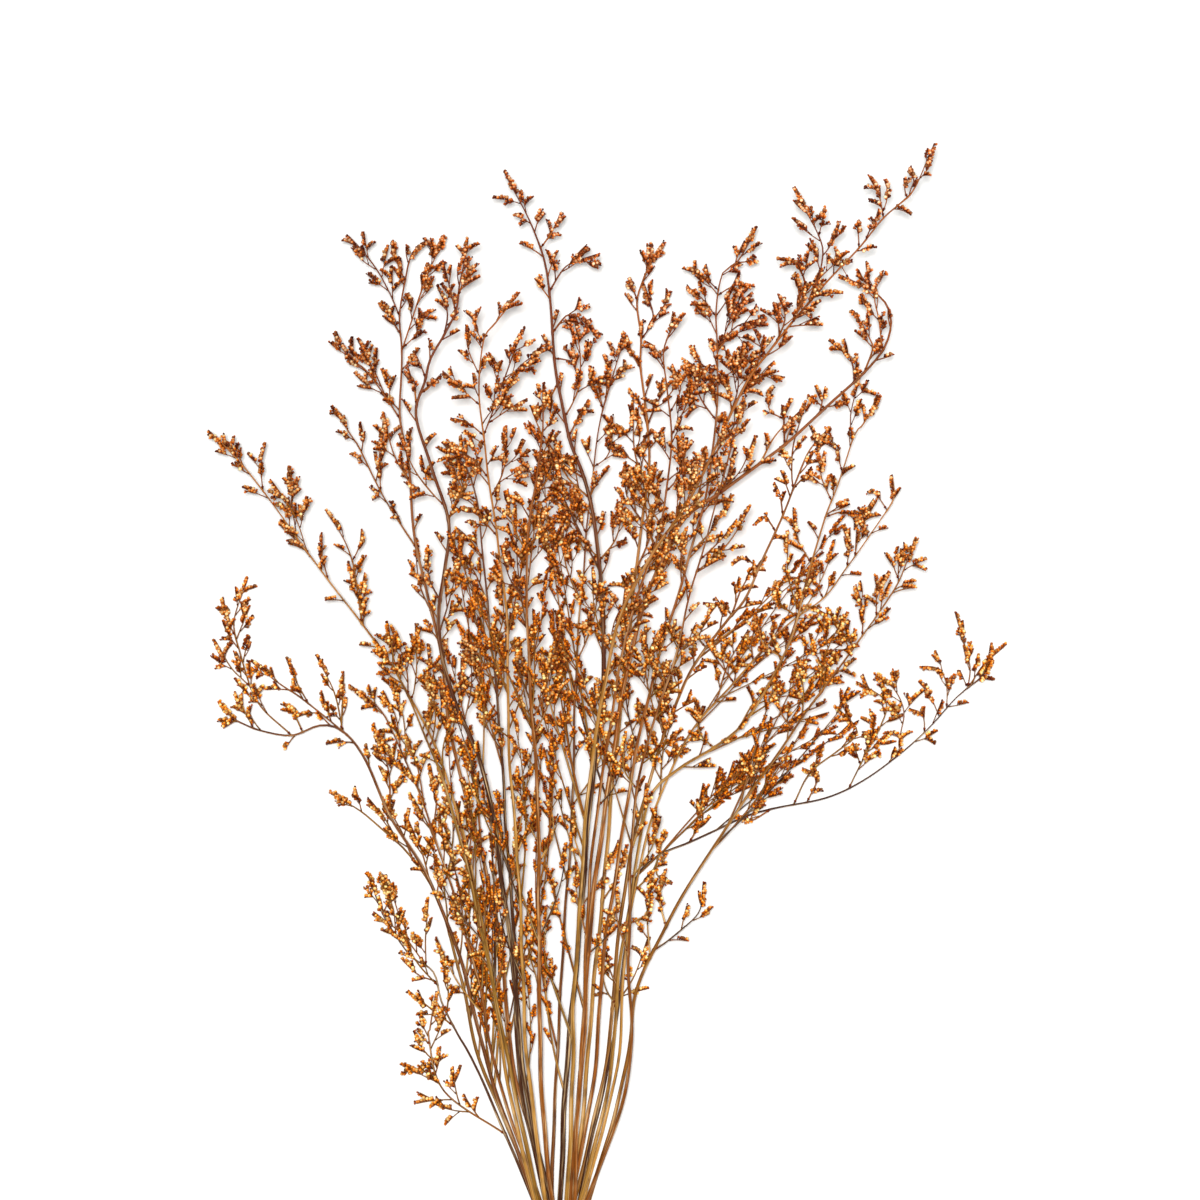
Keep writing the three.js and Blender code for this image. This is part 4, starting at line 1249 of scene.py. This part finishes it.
def add_node(tree, kind, settings, links):
    """Adds a node: settings are its properties and unlinked sockets, links its linked sockets."""
    node = tree.nodes.new(kind)
    for name, value in settings.items():
        if name == "stops":
            ramp = node.color_ramp
            while len(ramp.elements) < len(value):
                ramp.elements.new(0.5)
            for element, (position, colour) in zip(ramp.elements, value):
                element.position = position
                element.color = (*colour, 1)
        elif isinstance(name, str) and hasattr(node, name):
            setattr(node, name, value)
        else:
            node.inputs[name].default_value = value
    for name, source in links.items():
        tree.links.new(source, node.inputs[name])
    return node


def new_material(name, settings):
    """A material with a plain Principled shader and its settings."""
    material = bpy.data.materials.new(name)
    material.use_nodes = True
    shader = material.node_tree.nodes["Principled BSDF"]
    for socket, value in settings.items():
        shader.inputs[socket].default_value = value
    return material, material.node_tree, shader


def mixed(tree, share, first, second, blend="MIX"):
    """Two colours mixed by a share; each is a socket or a fixed colour. The result stays under 1."""
    settings = {"data_type": "RGBA", "blend_type": blend, "clamp_result": True}
    links = {}
    for place, value in ((0, share), (6, first), (7, second)):
        if isinstance(value, bpy.types.NodeSocket):
            links[place] = value
        else:
            settings[place] = value if isinstance(value, float) else (*value, 1)
    return add_node(tree, "ShaderNodeMix", settings, links).outputs[2]


def floret_material(colours, sizes):
    """Dried statice calyx, dyed and preserved: papery, pale at its rim and dark at its foot.

    The rim's pale paper carries a painted highlight and the dark foot painted shade between the
    florets, and so they give the florets their speckle. The tone of each floret keeps them from looking
    alike, and its ramp also paints shade on the darkest florets and a highlight on the palest, above
    their own colour. The heads go from golden low in the bunch to rosier above, with the highest ones
    on the left a little darker."""
    material, tree, shader = new_material("preserved_statice_calyx", {
        "Roughness": 0.5,
        "Specular IOR Level": 0.12,
    })
    grain = add_node(tree, "ShaderNodeAttribute", {"attribute_name": "grain"}, {})
    tone = add_node(tree, "ShaderNodeAttribute", {"attribute_name": "tone"}, {})
    place = add_node(tree, "ShaderNodeSeparateXYZ", {}, {0: grain.outputs["Vector"]})
    height = add_node(
        tree, "ShaderNodeMath", {"operation": "DIVIDE", 1: sizes.floret_length}, {0: place.outputs[2]},
    )
    # Along each floret: its pale rim is paper and also a painted highlight, its dark foot a bract and also
    # painted shade between the florets.
    gold = add_node(tree, "ShaderNodeValToRGB", {"stops": (
        (0.18, colours.foot), (0.45, colours.body), (0.68, colours.gold), (0.9, colours.rim),
    )}, {0: height.outputs[0]})
    rosy = add_node(tree, "ShaderNodeValToRGB", {"stops": (
        (0.18, colours.foot), (0.48, colours.rust), (0.7, colours.rose), (0.92, colours.rose_rim),
    )}, {0: height.outputs[0]})
    where = add_node(tree, "ShaderNodeTexCoord", {}, {})
    spot = add_node(tree, "ShaderNodeSeparateXYZ", {}, {0: where.outputs["Object"]})
    up_bunch = add_node(tree, "ShaderNodeMapRange", {
        "From Min": 0.3, "From Max": 0.62, "To Min": -0.05, "To Max": 0.9,
    }, {"Value": spot.outputs[1]})
    patches = add_node(tree, "ShaderNodeTexNoise", {"Scale": 22, "Detail": 1}, {
        "Vector": where.outputs["Object"],
    })
    drift = add_node(tree, "ShaderNodeMath", {"operation": "MULTIPLY_ADD", 1: 1.2, 2: -0.6}, {
        0: patches.outputs[0],
    })
    share = add_node(tree, "ShaderNodeMath", {"operation": "ADD", "use_clamp": True}, {
        0: up_bunch.outputs[0], 1: drift.outputs[0],
    })
    colour = mixed(tree, share.outputs[0], gold.outputs[0], rosy.outputs[0])
    # Each floret's random tone scales its colour. The low end also paints shade on the darkest florets,
    # and the top, above 1, paints a highlight on the palest.
    shade = add_node(tree, "ShaderNodeValToRGB", {"stops": (
        (0.0, (0.12, 0.04, 0.01)), (0.35, (0.52, 0.36, 0.22)), (0.65, (0.95, 0.83, 0.68)),
        (1.0, (1.3, 1.25, 1.16)),
    )}, {0: tone.outputs["Fac"]})
    colour = mixed(tree, 1.0, colour, shade.outputs[0], "MULTIPLY")
    leftward = add_node(tree, "ShaderNodeMapRange", {
        "From Min": -0.04, "From Max": -0.12, "To Max": 0.6,
    }, {"Value": spot.outputs[0]})
    upward = add_node(tree, "ShaderNodeMapRange", {
        "From Min": 0.42, "From Max": 0.52,
    }, {"Value": spot.outputs[1]})
    darker = add_node(tree, "ShaderNodeMath", {"operation": "MULTIPLY"}, {
        0: leftward.outputs[0], 1: upward.outputs[0],
    })
    colour = mixed(tree, darker.outputs[0], colour, (0.62, 0.58, 0.66), "MULTIPLY")
    tree.links.new(colour, shader.inputs["Base Color"])
    creases = add_node(tree, "ShaderNodeTexNoise", {"Scale": 1 / CALYX_CREASES, "Detail": 2}, {
        "Vector": grain.outputs["Vector"],
    })
    bump = add_node(tree, "ShaderNodeBump", {"Strength": 0.4, "Distance": 0.0002}, {
        "Height": creases.outputs[0],
    })
    tree.links.new(bump.outputs[0], shader.inputs["Normal"])
    return material


def wood_material(name, colours, young):
    """Dried statice stem: slim, woody and finely ribbed, with darker scars and paler worn ribs.

    The ribs run along the stem, about 1 mm apart, so it catches the light in streaks; the paler worn
    ribs are also painted highlight streaks, and the furrows between them are darkened as painted shade.
    Young wood, on thin axes, goes from brown or olive low in the bunch to reddish brown in the heads.
    Old wood is anything from dark bark to straw low in the bunch, by a random tone whose dark end is
    also painted shade and pale end a painted highlight, and goes to the same reddish brown."""
    material, tree, shader = new_material(name, {
        "Roughness": 0.5,
        "Specular IOR Level": 0.2,
    })
    grain = add_node(tree, "ShaderNodeAttribute", {"attribute_name": "grain"}, {})
    tone = add_node(tree, "ShaderNodeAttribute", {"attribute_name": "tone"}, {})
    where = add_node(tree, "ShaderNodeTexCoord", {}, {})
    spot = add_node(tree, "ShaderNodeSeparateXYZ", {}, {0: where.outputs["Object"]})
    stretch = add_node(tree, "ShaderNodeMapping", {"Scale": (1, 1, 0.03)}, {
        "Vector": grain.outputs["Vector"],
    })
    ribs = add_node(tree, "ShaderNodeTexNoise", {"Scale": 1 / STEM_RIBS, "Detail": 3}, {
        "Vector": stretch.outputs[0],
    })
    blotches = add_node(tree, "ShaderNodeTexNoise", {"Scale": 1 / STEM_BLOTCHES, "Detail": 2}, {
        "Vector": where.outputs["Object"],
    })
    up_bunch = add_node(tree, "ShaderNodeMapRange", {
        "From Min": 0.28, "From Max": 0.56,
    }, {"Value": spot.outputs[1]})
    lower = mixed(tree, tone.outputs["Fac"], colours.brown, colours.olive)
    higher = mixed(tree, tone.outputs["Fac"], colours.twig, colours.twig_light)
    if not young:
        # Old wood's random tone: the dark bark end is also painted shade on stems, and the pale straw end
        # a painted highlight on them.
        old = add_node(tree, "ShaderNodeValToRGB", {"stops": (
            (0.15, colours.bark), (0.45, colours.brown), (0.75, colours.olive), (1.0, colours.straw),
        )}, {0: tone.outputs["Fac"]})
        # Paler ribs: worn wood, and also painted highlight streaks along the stem.
        worn_and_highlight = add_node(tree, "ShaderNodeMapRange", {
            "From Min": 0.52, "From Max": 0.7, "To Max": 0.7,
        }, {"Value": ribs.outputs[0]})
        old_worn_and_highlight = mixed(tree, worn_and_highlight.outputs[0], old.outputs[0], colours.worn_and_highlight)
        # Painted shade: the furrows between the ribs are darkened towards the scar colour, for shade in
        # them and on the stems' sides.
        furrow_shade = add_node(tree, "ShaderNodeMapRange", {
            "From Min": 0.48, "From Max": 0.3, "To Max": 0.9,
        }, {"Value": ribs.outputs[0]})
        lower = mixed(tree, furrow_shade.outputs[0], old_worn_and_highlight, colours.scar_and_shade)
    base = mixed(tree, up_bunch.outputs[0], lower, higher)
    scars = add_node(tree, "ShaderNodeMapRange", {
        "From Min": 0.52, "From Max": 0.72, "To Max": 0.5,
    }, {"Value": blotches.outputs[0]})
    base = mixed(tree, scars.outputs[0], base, colours.scar_and_shade)
    tree.links.new(base, shader.inputs["Base Color"])
    bump = add_node(tree, "ShaderNodeBump", {"Strength": 0.8, "Distance": 0.0003}, {
        "Height": ribs.outputs[0],
    })
    tree.links.new(bump.outputs[0], shader.inputs["Normal"])
    return material


def pith_material(colours):
    """The cut end of a stem: pale pith, speckled where it has dried out."""
    material, tree, shader = new_material("cut_stem_pith", {"Roughness": 0.85})
    where = add_node(tree, "ShaderNodeTexCoord", {}, {})
    pores = add_node(tree, "ShaderNodeTexVoronoi", {"Scale": 1 / PITH_PORES}, {
        "Vector": where.outputs["Object"],
    })
    colour = mixed(tree, pores.outputs["Distance"], colours.pith, colours.scar_and_shade)
    tree.links.new(colour, shader.inputs["Base Color"])
    return material


def twine_material(colours):
    """Jute twine: two plies of coarse straw-coloured fibre, matt and a little hairy."""
    material, tree, shader = new_material("jute_twine", {"Roughness": 0.9})
    grain = add_node(tree, "ShaderNodeAttribute", {"attribute_name": "grain"}, {})
    tone = add_node(tree, "ShaderNodeAttribute", {"attribute_name": "tone"}, {})
    stretch = add_node(tree, "ShaderNodeMapping", {"Scale": (1, 1, 0.12)}, {
        "Vector": grain.outputs["Vector"],
    })
    fibres = add_node(tree, "ShaderNodeTexNoise", {"Scale": 1 / JUTE_FIBRES, "Detail": 3}, {
        "Vector": stretch.outputs[0],
    })
    share = add_node(tree, "ShaderNodeMapRange", {"From Min": 0.35, "From Max": 0.7}, {
        "Value": fibres.outputs[0],
    })
    base = mixed(tree, share.outputs[0], colours.jute_dark, colours.jute)
    base = mixed(tree, tone.outputs["Fac"], base, colours.jute)
    tree.links.new(base, shader.inputs["Base Color"])
    bump = add_node(tree, "ShaderNodeBump", {"Strength": 0.7, "Distance": 0.0002}, {
        "Height": fibres.outputs[0],
    })
    tree.links.new(bump.outputs[0], shader.inputs["Normal"])
    return material


def finish_piece(piece, node):
    """Hands a finished piece to the frame in place of its solid."""
    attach(piece, "root")
    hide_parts(node)


def make_stem(strands, name, pattern, materials, rng, sizes):
    """One stem with all its forks, twigs, spikes and florets, in place of its solid."""
    pile = Pile(STEM_FINISHES)
    slimmest = rng.uniform(*sizes.slimmest)
    sprigs = Habit(SPRIG_HABIT, sizes.spike_pitch / MM)
    heads = Habit(HEAD_HABIT, sizes.spike_pitch / MM)
    for strand in strands:
        own_stem = strand.parent is None
        nodes = [fork.root for fork in strands if fork.parent is strand]
        line, stations = fine_line(strand, STEM_SPACING if own_stem else FORK_SPACING, nodes)
        line = lifted(line, STEM_LEAST_HEIGHT)
        radii = fine_radii(strand, stations, nodes, slimmest, sizes)
        run = run_of(line)
        length = run[-1]
        tone = rng.random()
        if own_stem:
            pile.add_tube(line, radii, STEM_SIDES, "wood", tone, cut=True)
            bare = np.interp(strand.first, stations, run)
            sparse = np.interp(sizes.sprigs_from / MM, line[:, 1], run)
            add_side_growth(pile, pattern, line, radii, sparse, sprigs, rng, sizes, end=bare)
            add_side_growth(pile, pattern, line, radii, bare, heads, rng, sizes)
            add_twigs(pile, pattern, line, radii, rng, sizes)
        else:
            finish = "wood" if radii[0] > WOODY_FROM else "axis"
            pile.add_tube(line, radii, FORK_SIDES, finish, tone)
            add_bract(pile, pattern, line, FORK_BRACT)
            start = max(FORK_BARE_LEAST, length * FORK_BARE_SHARE)
            longest = np.clip(length * FORK_BRANCH_SHARE, *FORK_BRANCHES)
            own_heads = heads.with_longest(longest)
            add_side_growth(pile, pattern, line, radii, start, own_heads, rng, sizes)
        add_tip_florets(pile, pattern, line, 1.0, rng, sizes)
    piece = pile.make(name.replace("stem_", "caspia_"), materials)
    finish_piece(piece, name)


def inside(outline, x, y):
    """Whether x, y lies inside a closed outline of corners."""
    crossings = 0
    for (xa, ya), (xb, yb) in zip(outline, outline[1:] + outline[:1]):
        if (ya > y) != (yb > y) and x < xa + (xb - xa) * (y - ya) / (yb - ya):
            crossings += 1
    return crossings % 2 == 1


def add_twigs(pile, pattern, line, radii, rng, sizes):
    """Thin twigs that fill the heart of the bunch: they leave a stem's bare part and run up beside it."""
    run = run_of(line)
    every_heading = headings(line)
    habit = Habit(TWIG_HABIT, sizes.spike_pitch / MM)
    grown = 0
    for k in range(TWIG_TRIES):
        place = np.interp(rng.uniform(*TWIG_FROM), line[:, 1], run)
        length = rng.uniform(*TWIG_LENGTH)
        at = along_line(line, run, [place])[0]
        ahead = unit(along_line(every_heading, run, [place])[0])
        upright = np.array([0.0, 0.0, 1.0 if k % 2 else -1.0])
        heading = turned(ahead, upright, rng.uniform(*TWIG_ANGLE))
        heading[2] += rng.normal(*TWIG_DROOP)
        points = 2 + int(length / TWIG_SPACING)
        curl = -rng.uniform(*TWIG_CURL)
        twig = curled_line(at, unit(heading), upright, curl, length, points)
        if not any(inside(outline, twig[-1][0], twig[-1][1]) for outline in THICKETS):
            continue
        grown += 1
        twig = lifted(twig, TWIG_LEAST_HEIGHT)
        thickness = min(
            np.interp(place, run, radii) * TWIG_SHARE,
            TWIG_RADIUS + length * TWIG_RADIUS_GAIN,
        )
        slim = np.linspace(thickness, sizes.axis_tip / MM, len(twig))
        pile.add_tube(twig, slim, TWIG_SIDES, "wood" if k % 3 else "axis", rng.random())
        bare = length * TWIG_BARE_SHARE
        add_side_growth(pile, pattern, twig, slim, bare, habit, rng, sizes)
        add_tip_florets(pile, pattern, twig, habit.plump, rng, sizes)
        if grown == sizes.twigs:
            break


def tie_path(offset, turns, width):
    """The twine's middle line: turns round the rows of stems, each beside the last."""
    row_height = STEM_PITCH * math.sin(math.pi / 3)
    base = TIE_THICKNESS + CLEAR + STEM_RADIUS
    middle = len(TIE_ROWS) // 2
    top = len(TIE_ROWS) - 1
    half = [(count - 1) / 2 * STEM_PITCH for count in TIE_ROWS]
    corners = [
        (-half[0], 0.0),
        (half[0], 0.0),
        (half[middle], middle * row_height),
        (half[top], top * row_height),
        (-half[top], top * row_height),
        (-half[middle], middle * row_height),
    ]

    def heading(k):
        """The way out of corner k's side towards the next corner, as an angle."""
        a = corners[k % 6]
        b = corners[(k + 1) % 6]
        return math.atan2(b[1] - a[1], b[0] - a[0]) - math.pi / 2

    outline = []
    for k, (x, z) in enumerate(corners):
        start = heading(k + 5)
        sweep = (heading(k) - start) % (2 * math.pi)
        for part in range(CORNER_STEPS + 1):
            angle = start + sweep * part / CORNER_STEPS
            outline.append((x + math.cos(angle) * offset, base + z + math.sin(angle) * offset))
    outline = np.array(outline + outline[:1])
    round_once = run_of(outline)
    around = np.arange(0, round_once[-1] * turns, TWINE_STEP)
    share = around / around[-1]
    flat = along_line(np.column_stack([outline, outline[:, 0]]), round_once, around % round_once[-1])
    return np.column_stack([flat[:, 0], width * (share - 0.5), flat[:, 1]])


def add_twine(pile, line, radius, lay, rng):
    """Twine along a line: two plies twisted round each other, each turn of the twist one lay long."""
    ahead = headings(line)
    up = unit(np.array([0.0, 1.0, 0.0]) - ahead * ahead[:, 1:2])
    across = np.cross(ahead, up)
    run = run_of(line)
    ends = np.minimum(1, np.minimum(run, run[-1] - run) / TWINE_END + TWINE_END_SHARE)
    for ply in (0, math.pi):
        turn = 2 * math.pi * run / lay + ply
        reach = radius * PLY_REACH * ends
        middle = line + (up * np.cos(turn)[:, None] + across * np.sin(turn)[:, None]) * reach[:, None]
        pile.add_tube(middle, radius * PLY_RADIUS * ends, PLY_SIDES, "twine", rng.random())


class CASPIA_OT_stems(bpy.types.Operator):
    """Grow the 24 stems with their forks, spikes and florets"""

    bl_idname = "caspia.stems"
    bl_label = "Stems"

    def execute(self, context):
        sizes = context.scene.caspia_sizes
        colours = context.scene.caspia_colours
        pattern = model_floret(sizes)
        materials = [
            wood_material("dried_statice_stem", colours, young=False),
            wood_material("dried_statice_twig", colours, young=True),
            floret_material(colours, sizes),
            pith_material(colours),
        ]
        for index, strands in enumerate(grow_all()):
            rng = np.random.default_rng(SEED + index)
            make_stem(strands, STEMS[index][0], pattern, materials, rng, sizes)
        return {"FINISHED"}


class CASPIA_OT_tie(bpy.types.Operator):
    """Wind the jute twine round the stems"""

    bl_idname = "caspia.tie"
    bl_label = "Tie"

    def execute(self, context):
        sizes = context.scene.caspia_sizes
        colours = context.scene.caspia_colours
        rng = np.random.default_rng(SEED)
        radius = sizes.twine / MM / 2
        pile = Pile(TIE_FINISHES)
        turns = sizes.twine_turns
        line = tie_path(STEM_RADIUS + CLEAR + radius, turns, TIE_WIDTH - 2 * radius)
        add_twine(pile, line, radius, TWINE_LAY, rng)
        top = line[:, 2].max()
        over = np.array([
            (2.0, -TIE_WIDTH / 2 - 0.6, top - 2.6),
            (1.9, -TIE_WIDTH / 2 - 0.5, top - 0.6),
            (1.4, -TIE_WIDTH / 2 + 1.2, top + 1.5),
            (0.0, 0.0, top + 1.8),
            (-1.4, TIE_WIDTH / 2 - 1.2, top + 1.5),
            (-1.9, TIE_WIDTH / 2 + 0.5, top - 0.6),
            (-2.0, TIE_WIDTH / 2 + 0.6, top - 2.6),
        ])
        stations = np.linspace(0, len(over) - 1, 40)
        over_line = np.array([point_at(over, station) for station in stations])
        add_twine(pile, over_line, radius, TWINE_LAY, rng)
        piece = pile.make("twine_tie", [twine_material(colours)])
        finish_piece(piece, "tie")
        return {"FINISHED"}


class CASPIA_OT_stage(bpy.types.Operator):
    """Set the floor, the lights and the camera"""

    bl_idname = "caspia.stage"
    bl_label = "Stage"

    def execute(self, context):
        sizes = context.scene.caspia_sizes
        colours = context.scene.caspia_colours
        low, high = CAD_BOX
        middle_height = (low[2] + high[2]) / 2
        bpy.ops.object.select_all(action="DESELECT")
        middle_y = (low[1] + high[1]) / 2
        bpy.ops.mesh.primitive_plane_add(size=FLOOR_SIZE, location=(0, middle_y, -FLOOR_DROP))
        floor = context.object
        floor.name = "floor"
        bpy.ops.object.transform_apply(location=True, rotation=False, scale=False)
        floor.data.materials.append(paper_material(colours))
        world = bpy.data.worlds.new("studio")
        world.use_nodes = True
        background = world.node_tree.nodes["Background"]
        background.inputs["Color"].default_value = (1, 1, 1, 1)
        background.inputs["Strength"].default_value = sizes.room_light
        context.scene.world = world
        centre_x = sizes.view_x
        centre_y = sizes.view_y
        for (name, x, y, z, size), power in zip(LIGHTS, (sizes.key_light, sizes.fill_light)):
            bpy.ops.object.light_add(type="AREA", location=(centre_x + x, centre_y + y, z))
            light = context.object
            light.name = name
            light.data.size = size
            light.data.energy = power
            aim = -np.array([x, y, z])
            light.rotation_euler = direction_angles(aim)
        distance = sizes.view_width * sizes.lens / SENSOR
        bpy.ops.object.camera_add(location=(centre_x, centre_y, middle_height + distance))
        camera = context.object
        camera.data.lens = sizes.lens
        camera.data.sensor_width = SENSOR
        camera.data.clip_end = FARTHEST_SEEN
        camera.rotation_euler = (0, 0, 0)
        context.scene.camera = camera
        context.scene.view_settings.view_transform = "Standard"
        return {"FINISHED"}


def direction_angles(aim):
    """The turn that points a light, which shines down its own Z, along a direction."""
    x, y, z = aim / np.linalg.norm(aim)
    return (math.acos(-z), 0, math.atan2(y, x) - math.pi / 2)


def paper_material(colours):
    """Matt seamless paper: plain and pale, with the faintest tooth."""
    material, tree, shader = new_material("backdrop_paper", {"Roughness": 0.9})
    where = add_node(tree, "ShaderNodeTexCoord", {}, {})
    tooth = add_node(tree, "ShaderNodeTexNoise", {"Scale": 1 / PAPER_TOOTH, "Detail": 2}, {
        "Vector": where.outputs["Object"],
    })
    colour = mixed(tree, tooth.outputs[0], colours.paper, colours.paper_tooth)
    tree.links.new(colour, shader.inputs["Base Color"])
    return material


def colour_property(name, description, hex_colour):
    """A colour setting, given as sRGB hex."""
    return bpy.props.FloatVectorProperty(
        name=name, description=description, subtype="COLOR", size=3, min=0, max=1,
        default=linear(hex_colour),
    )


def length_property(name, description, default):
    """A length setting in metres."""
    return bpy.props.FloatProperty(name=name, description=description, default=default, unit="LENGTH")


class CaspiaSizes(bpy.types.PropertyGroup):
    """Sizes that a user would change."""

    floret_length: length_property("Floret length", "Foot to tip of one floret", 0.0038)
    floret_width: length_property("Floret width", "Across the rim of one floret", 0.00215)
    floret_pitch: length_property("Floret spacing", "From floret to floret in one row", 0.0016)
    spike_pitch: length_property("Spike spacing", "From side spike to side spike", 0.005)
    compound_from: length_property("Compound from", "Branches longer than this fork again", 0.010)
    tip_spike: length_property("Tip spike", "Length of the spike at a fork's tip", 0.014)
    axis_root: length_property("Axis radius", "Radius of a spike's axis at its foot", 0.0005)
    axis_tip: length_property("Axis tip radius", "Radius of an axis at its tip", 0.00024)
    floret_lean: bpy.props.FloatProperty(
        name="Floret lean", description="How far a floret leans away from its axis",
        default=math.radians(49), subtype="ANGLE",
    )
    roll: bpy.props.FloatProperty(
        name="Roll", description="How far side branches turn out of the bunch's plane, typically",
        default=math.radians(28), subtype="ANGLE",
    )
    slimmest: bpy.props.FloatVectorProperty(
        name="Slimmest", description="Share of a stem's thickness left well above the tie, least and most",
        size=2, default=(0.55, 1.12), min=0.3, max=1.2,
    )
    sprigs_from: length_property("Sprigs from", "How far up the bunch the stems bear sprigs", 0.3)
    twigs: bpy.props.IntProperty(
        name="Twigs", description="Thin twigs on each stem in the heart of the bunch", default=4, min=0,
    )
    row_spread: bpy.props.FloatProperty(
        name="Row spread", description="Turn of each row of florets from the spike's inner side",
        default=math.radians(38), subtype="ANGLE",
    )
    twine: length_property("Twine", "Thickness of the twine", 0.0018)
    twine_turns: bpy.props.IntProperty(
        name="Twine turns", description="Turns of twine round the stems", default=5, min=2, max=5,
    )
    view_x: length_property("View centre X", "Middle of the view, across the bunch", 0.024)
    view_y: length_property("View centre Y", "Middle of the view, along the bunch", 0.402)
    view_width: length_property("View width", "Width of the view at half the bunch's height", 0.72)
    lens: bpy.props.FloatProperty(
        name="Lens", description="Focal length in millimetres", default=300, min=50, max=1000,
    )
    room_light: bpy.props.FloatProperty(
        name="Room light", description="Strength of the light from all round", default=0.24, min=0,
    )
    key_light: bpy.props.FloatProperty(
        name="Key light", description="Main light", default=530, min=0, unit="POWER",
    )
    fill_light: bpy.props.FloatProperty(
        name="Fill light", description="Second, softer light", default=8, min=0, unit="POWER",
    )


class CaspiaColours(bpy.types.PropertyGroup):
    """Colours that a user would change."""

    # The foot colour is the bract's own, and also painted shade between the florets.
    foot: colour_property("Floret foot", "Bract at the foot of a floret", "#380A00")
    body: colour_property("Floret body", "Calyx tube low in the bunch", "#B85300")
    gold: colour_property("Floret gold", "Flare of the calyx low in the bunch", "#F09000")
    # The rim colours are the calyx's pale paper, and also painted highlights on the florets.
    rim: colour_property("Floret rim", "Papery edge low in the bunch", "#FFEAA4")
    rust: colour_property("Floret rust", "Calyx tube in the heads", "#9C420C")
    rose: colour_property("Floret rose", "Flare of the calyx in the heads", "#DA762C")
    # The rose rim is also a painted highlight, on the florets in the heads.
    rose_rim: colour_property("Floret rose rim", "Papery edge in the heads", "#FFE0BC")
    twig: colour_property("Twig", "Thin axes", "#6C2C08")
    twig_light: colour_property("Light twig", "Palest thin axes", "#A2560F")
    # The bark colour is also painted shade, on the darkest stems.
    bark: colour_property("Bark", "The darkest stems", "#401C02")
    brown: colour_property("Brown stem", "Most stems", "#92500E")
    olive: colour_property("Olive stem", "Greener stems", "#865E14")
    # The straw colour is also a painted highlight, on the palest stems.
    straw: colour_property("Straw stem", "The palest stems", "#C68E40")
    # The worn rib colour is also painted highlight streaks on the stems.
    worn_and_highlight: colour_property("Worn rib", "Rubbed ribs of a stem", "#F4D098")
    # The scar colour is real scars and pith pores, and also painted shade in the stems' furrows.
    scar_and_shade: colour_property("Scar", "Dark scars on stems", "#3C1C08")
    pith: colour_property("Pith", "Cut ends", "#E2CFA4")
    jute: colour_property("Jute", "Light fibres of the twine", "#C9A873")
    jute_dark: colour_property("Dark jute", "Shaded fibres of the twine", "#8A6A40")
    paper: colour_property("Paper", "Backdrop", "#F4F4F2")
    paper_tooth: colour_property("Paper tooth", "Backdrop's grain", "#F0F0EE")


class CASPIA_PT_panel(bpy.types.Panel):
    """The steps of the bunch, in order"""

    bl_idname = "CASPIA_PT_panel"
    bl_label = "Preserved caspia statice"
    bl_space_type = "VIEW_3D"
    bl_region_type = "UI"
    bl_category = "Caspia"

    def draw(self, context):
        for step in STEPS:
            self.layout.operator(step.bl_idname)
        for group in (context.scene.caspia_sizes, context.scene.caspia_colours):
            box = self.layout.box()
            for name in group.__annotations__:
                box.prop(group, name)


STEPS = (CASPIA_OT_stems, CASPIA_OT_tie, CASPIA_OT_stage)
CLASSES = (CaspiaSizes, CaspiaColours, *STEPS, CASPIA_PT_panel)


def register():
    for entry in CLASSES:
        bpy.utils.register_class(entry)
    bpy.types.Scene.caspia_sizes = bpy.props.PointerProperty(type=CaspiaSizes)
    bpy.types.Scene.caspia_colours = bpy.props.PointerProperty(type=CaspiaColours)


def unregister():
    del bpy.types.Scene.caspia_colours
    del bpy.types.Scene.caspia_sizes
    for entry in reversed(CLASSES):
        bpy.utils.unregister_class(entry)


def main():
    """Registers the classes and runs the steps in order."""
    register()
    bpy.ops.caspia.stems()
    bpy.ops.caspia.tie()
    bpy.ops.caspia.stage()


if __name__ == "__main__":
    main()
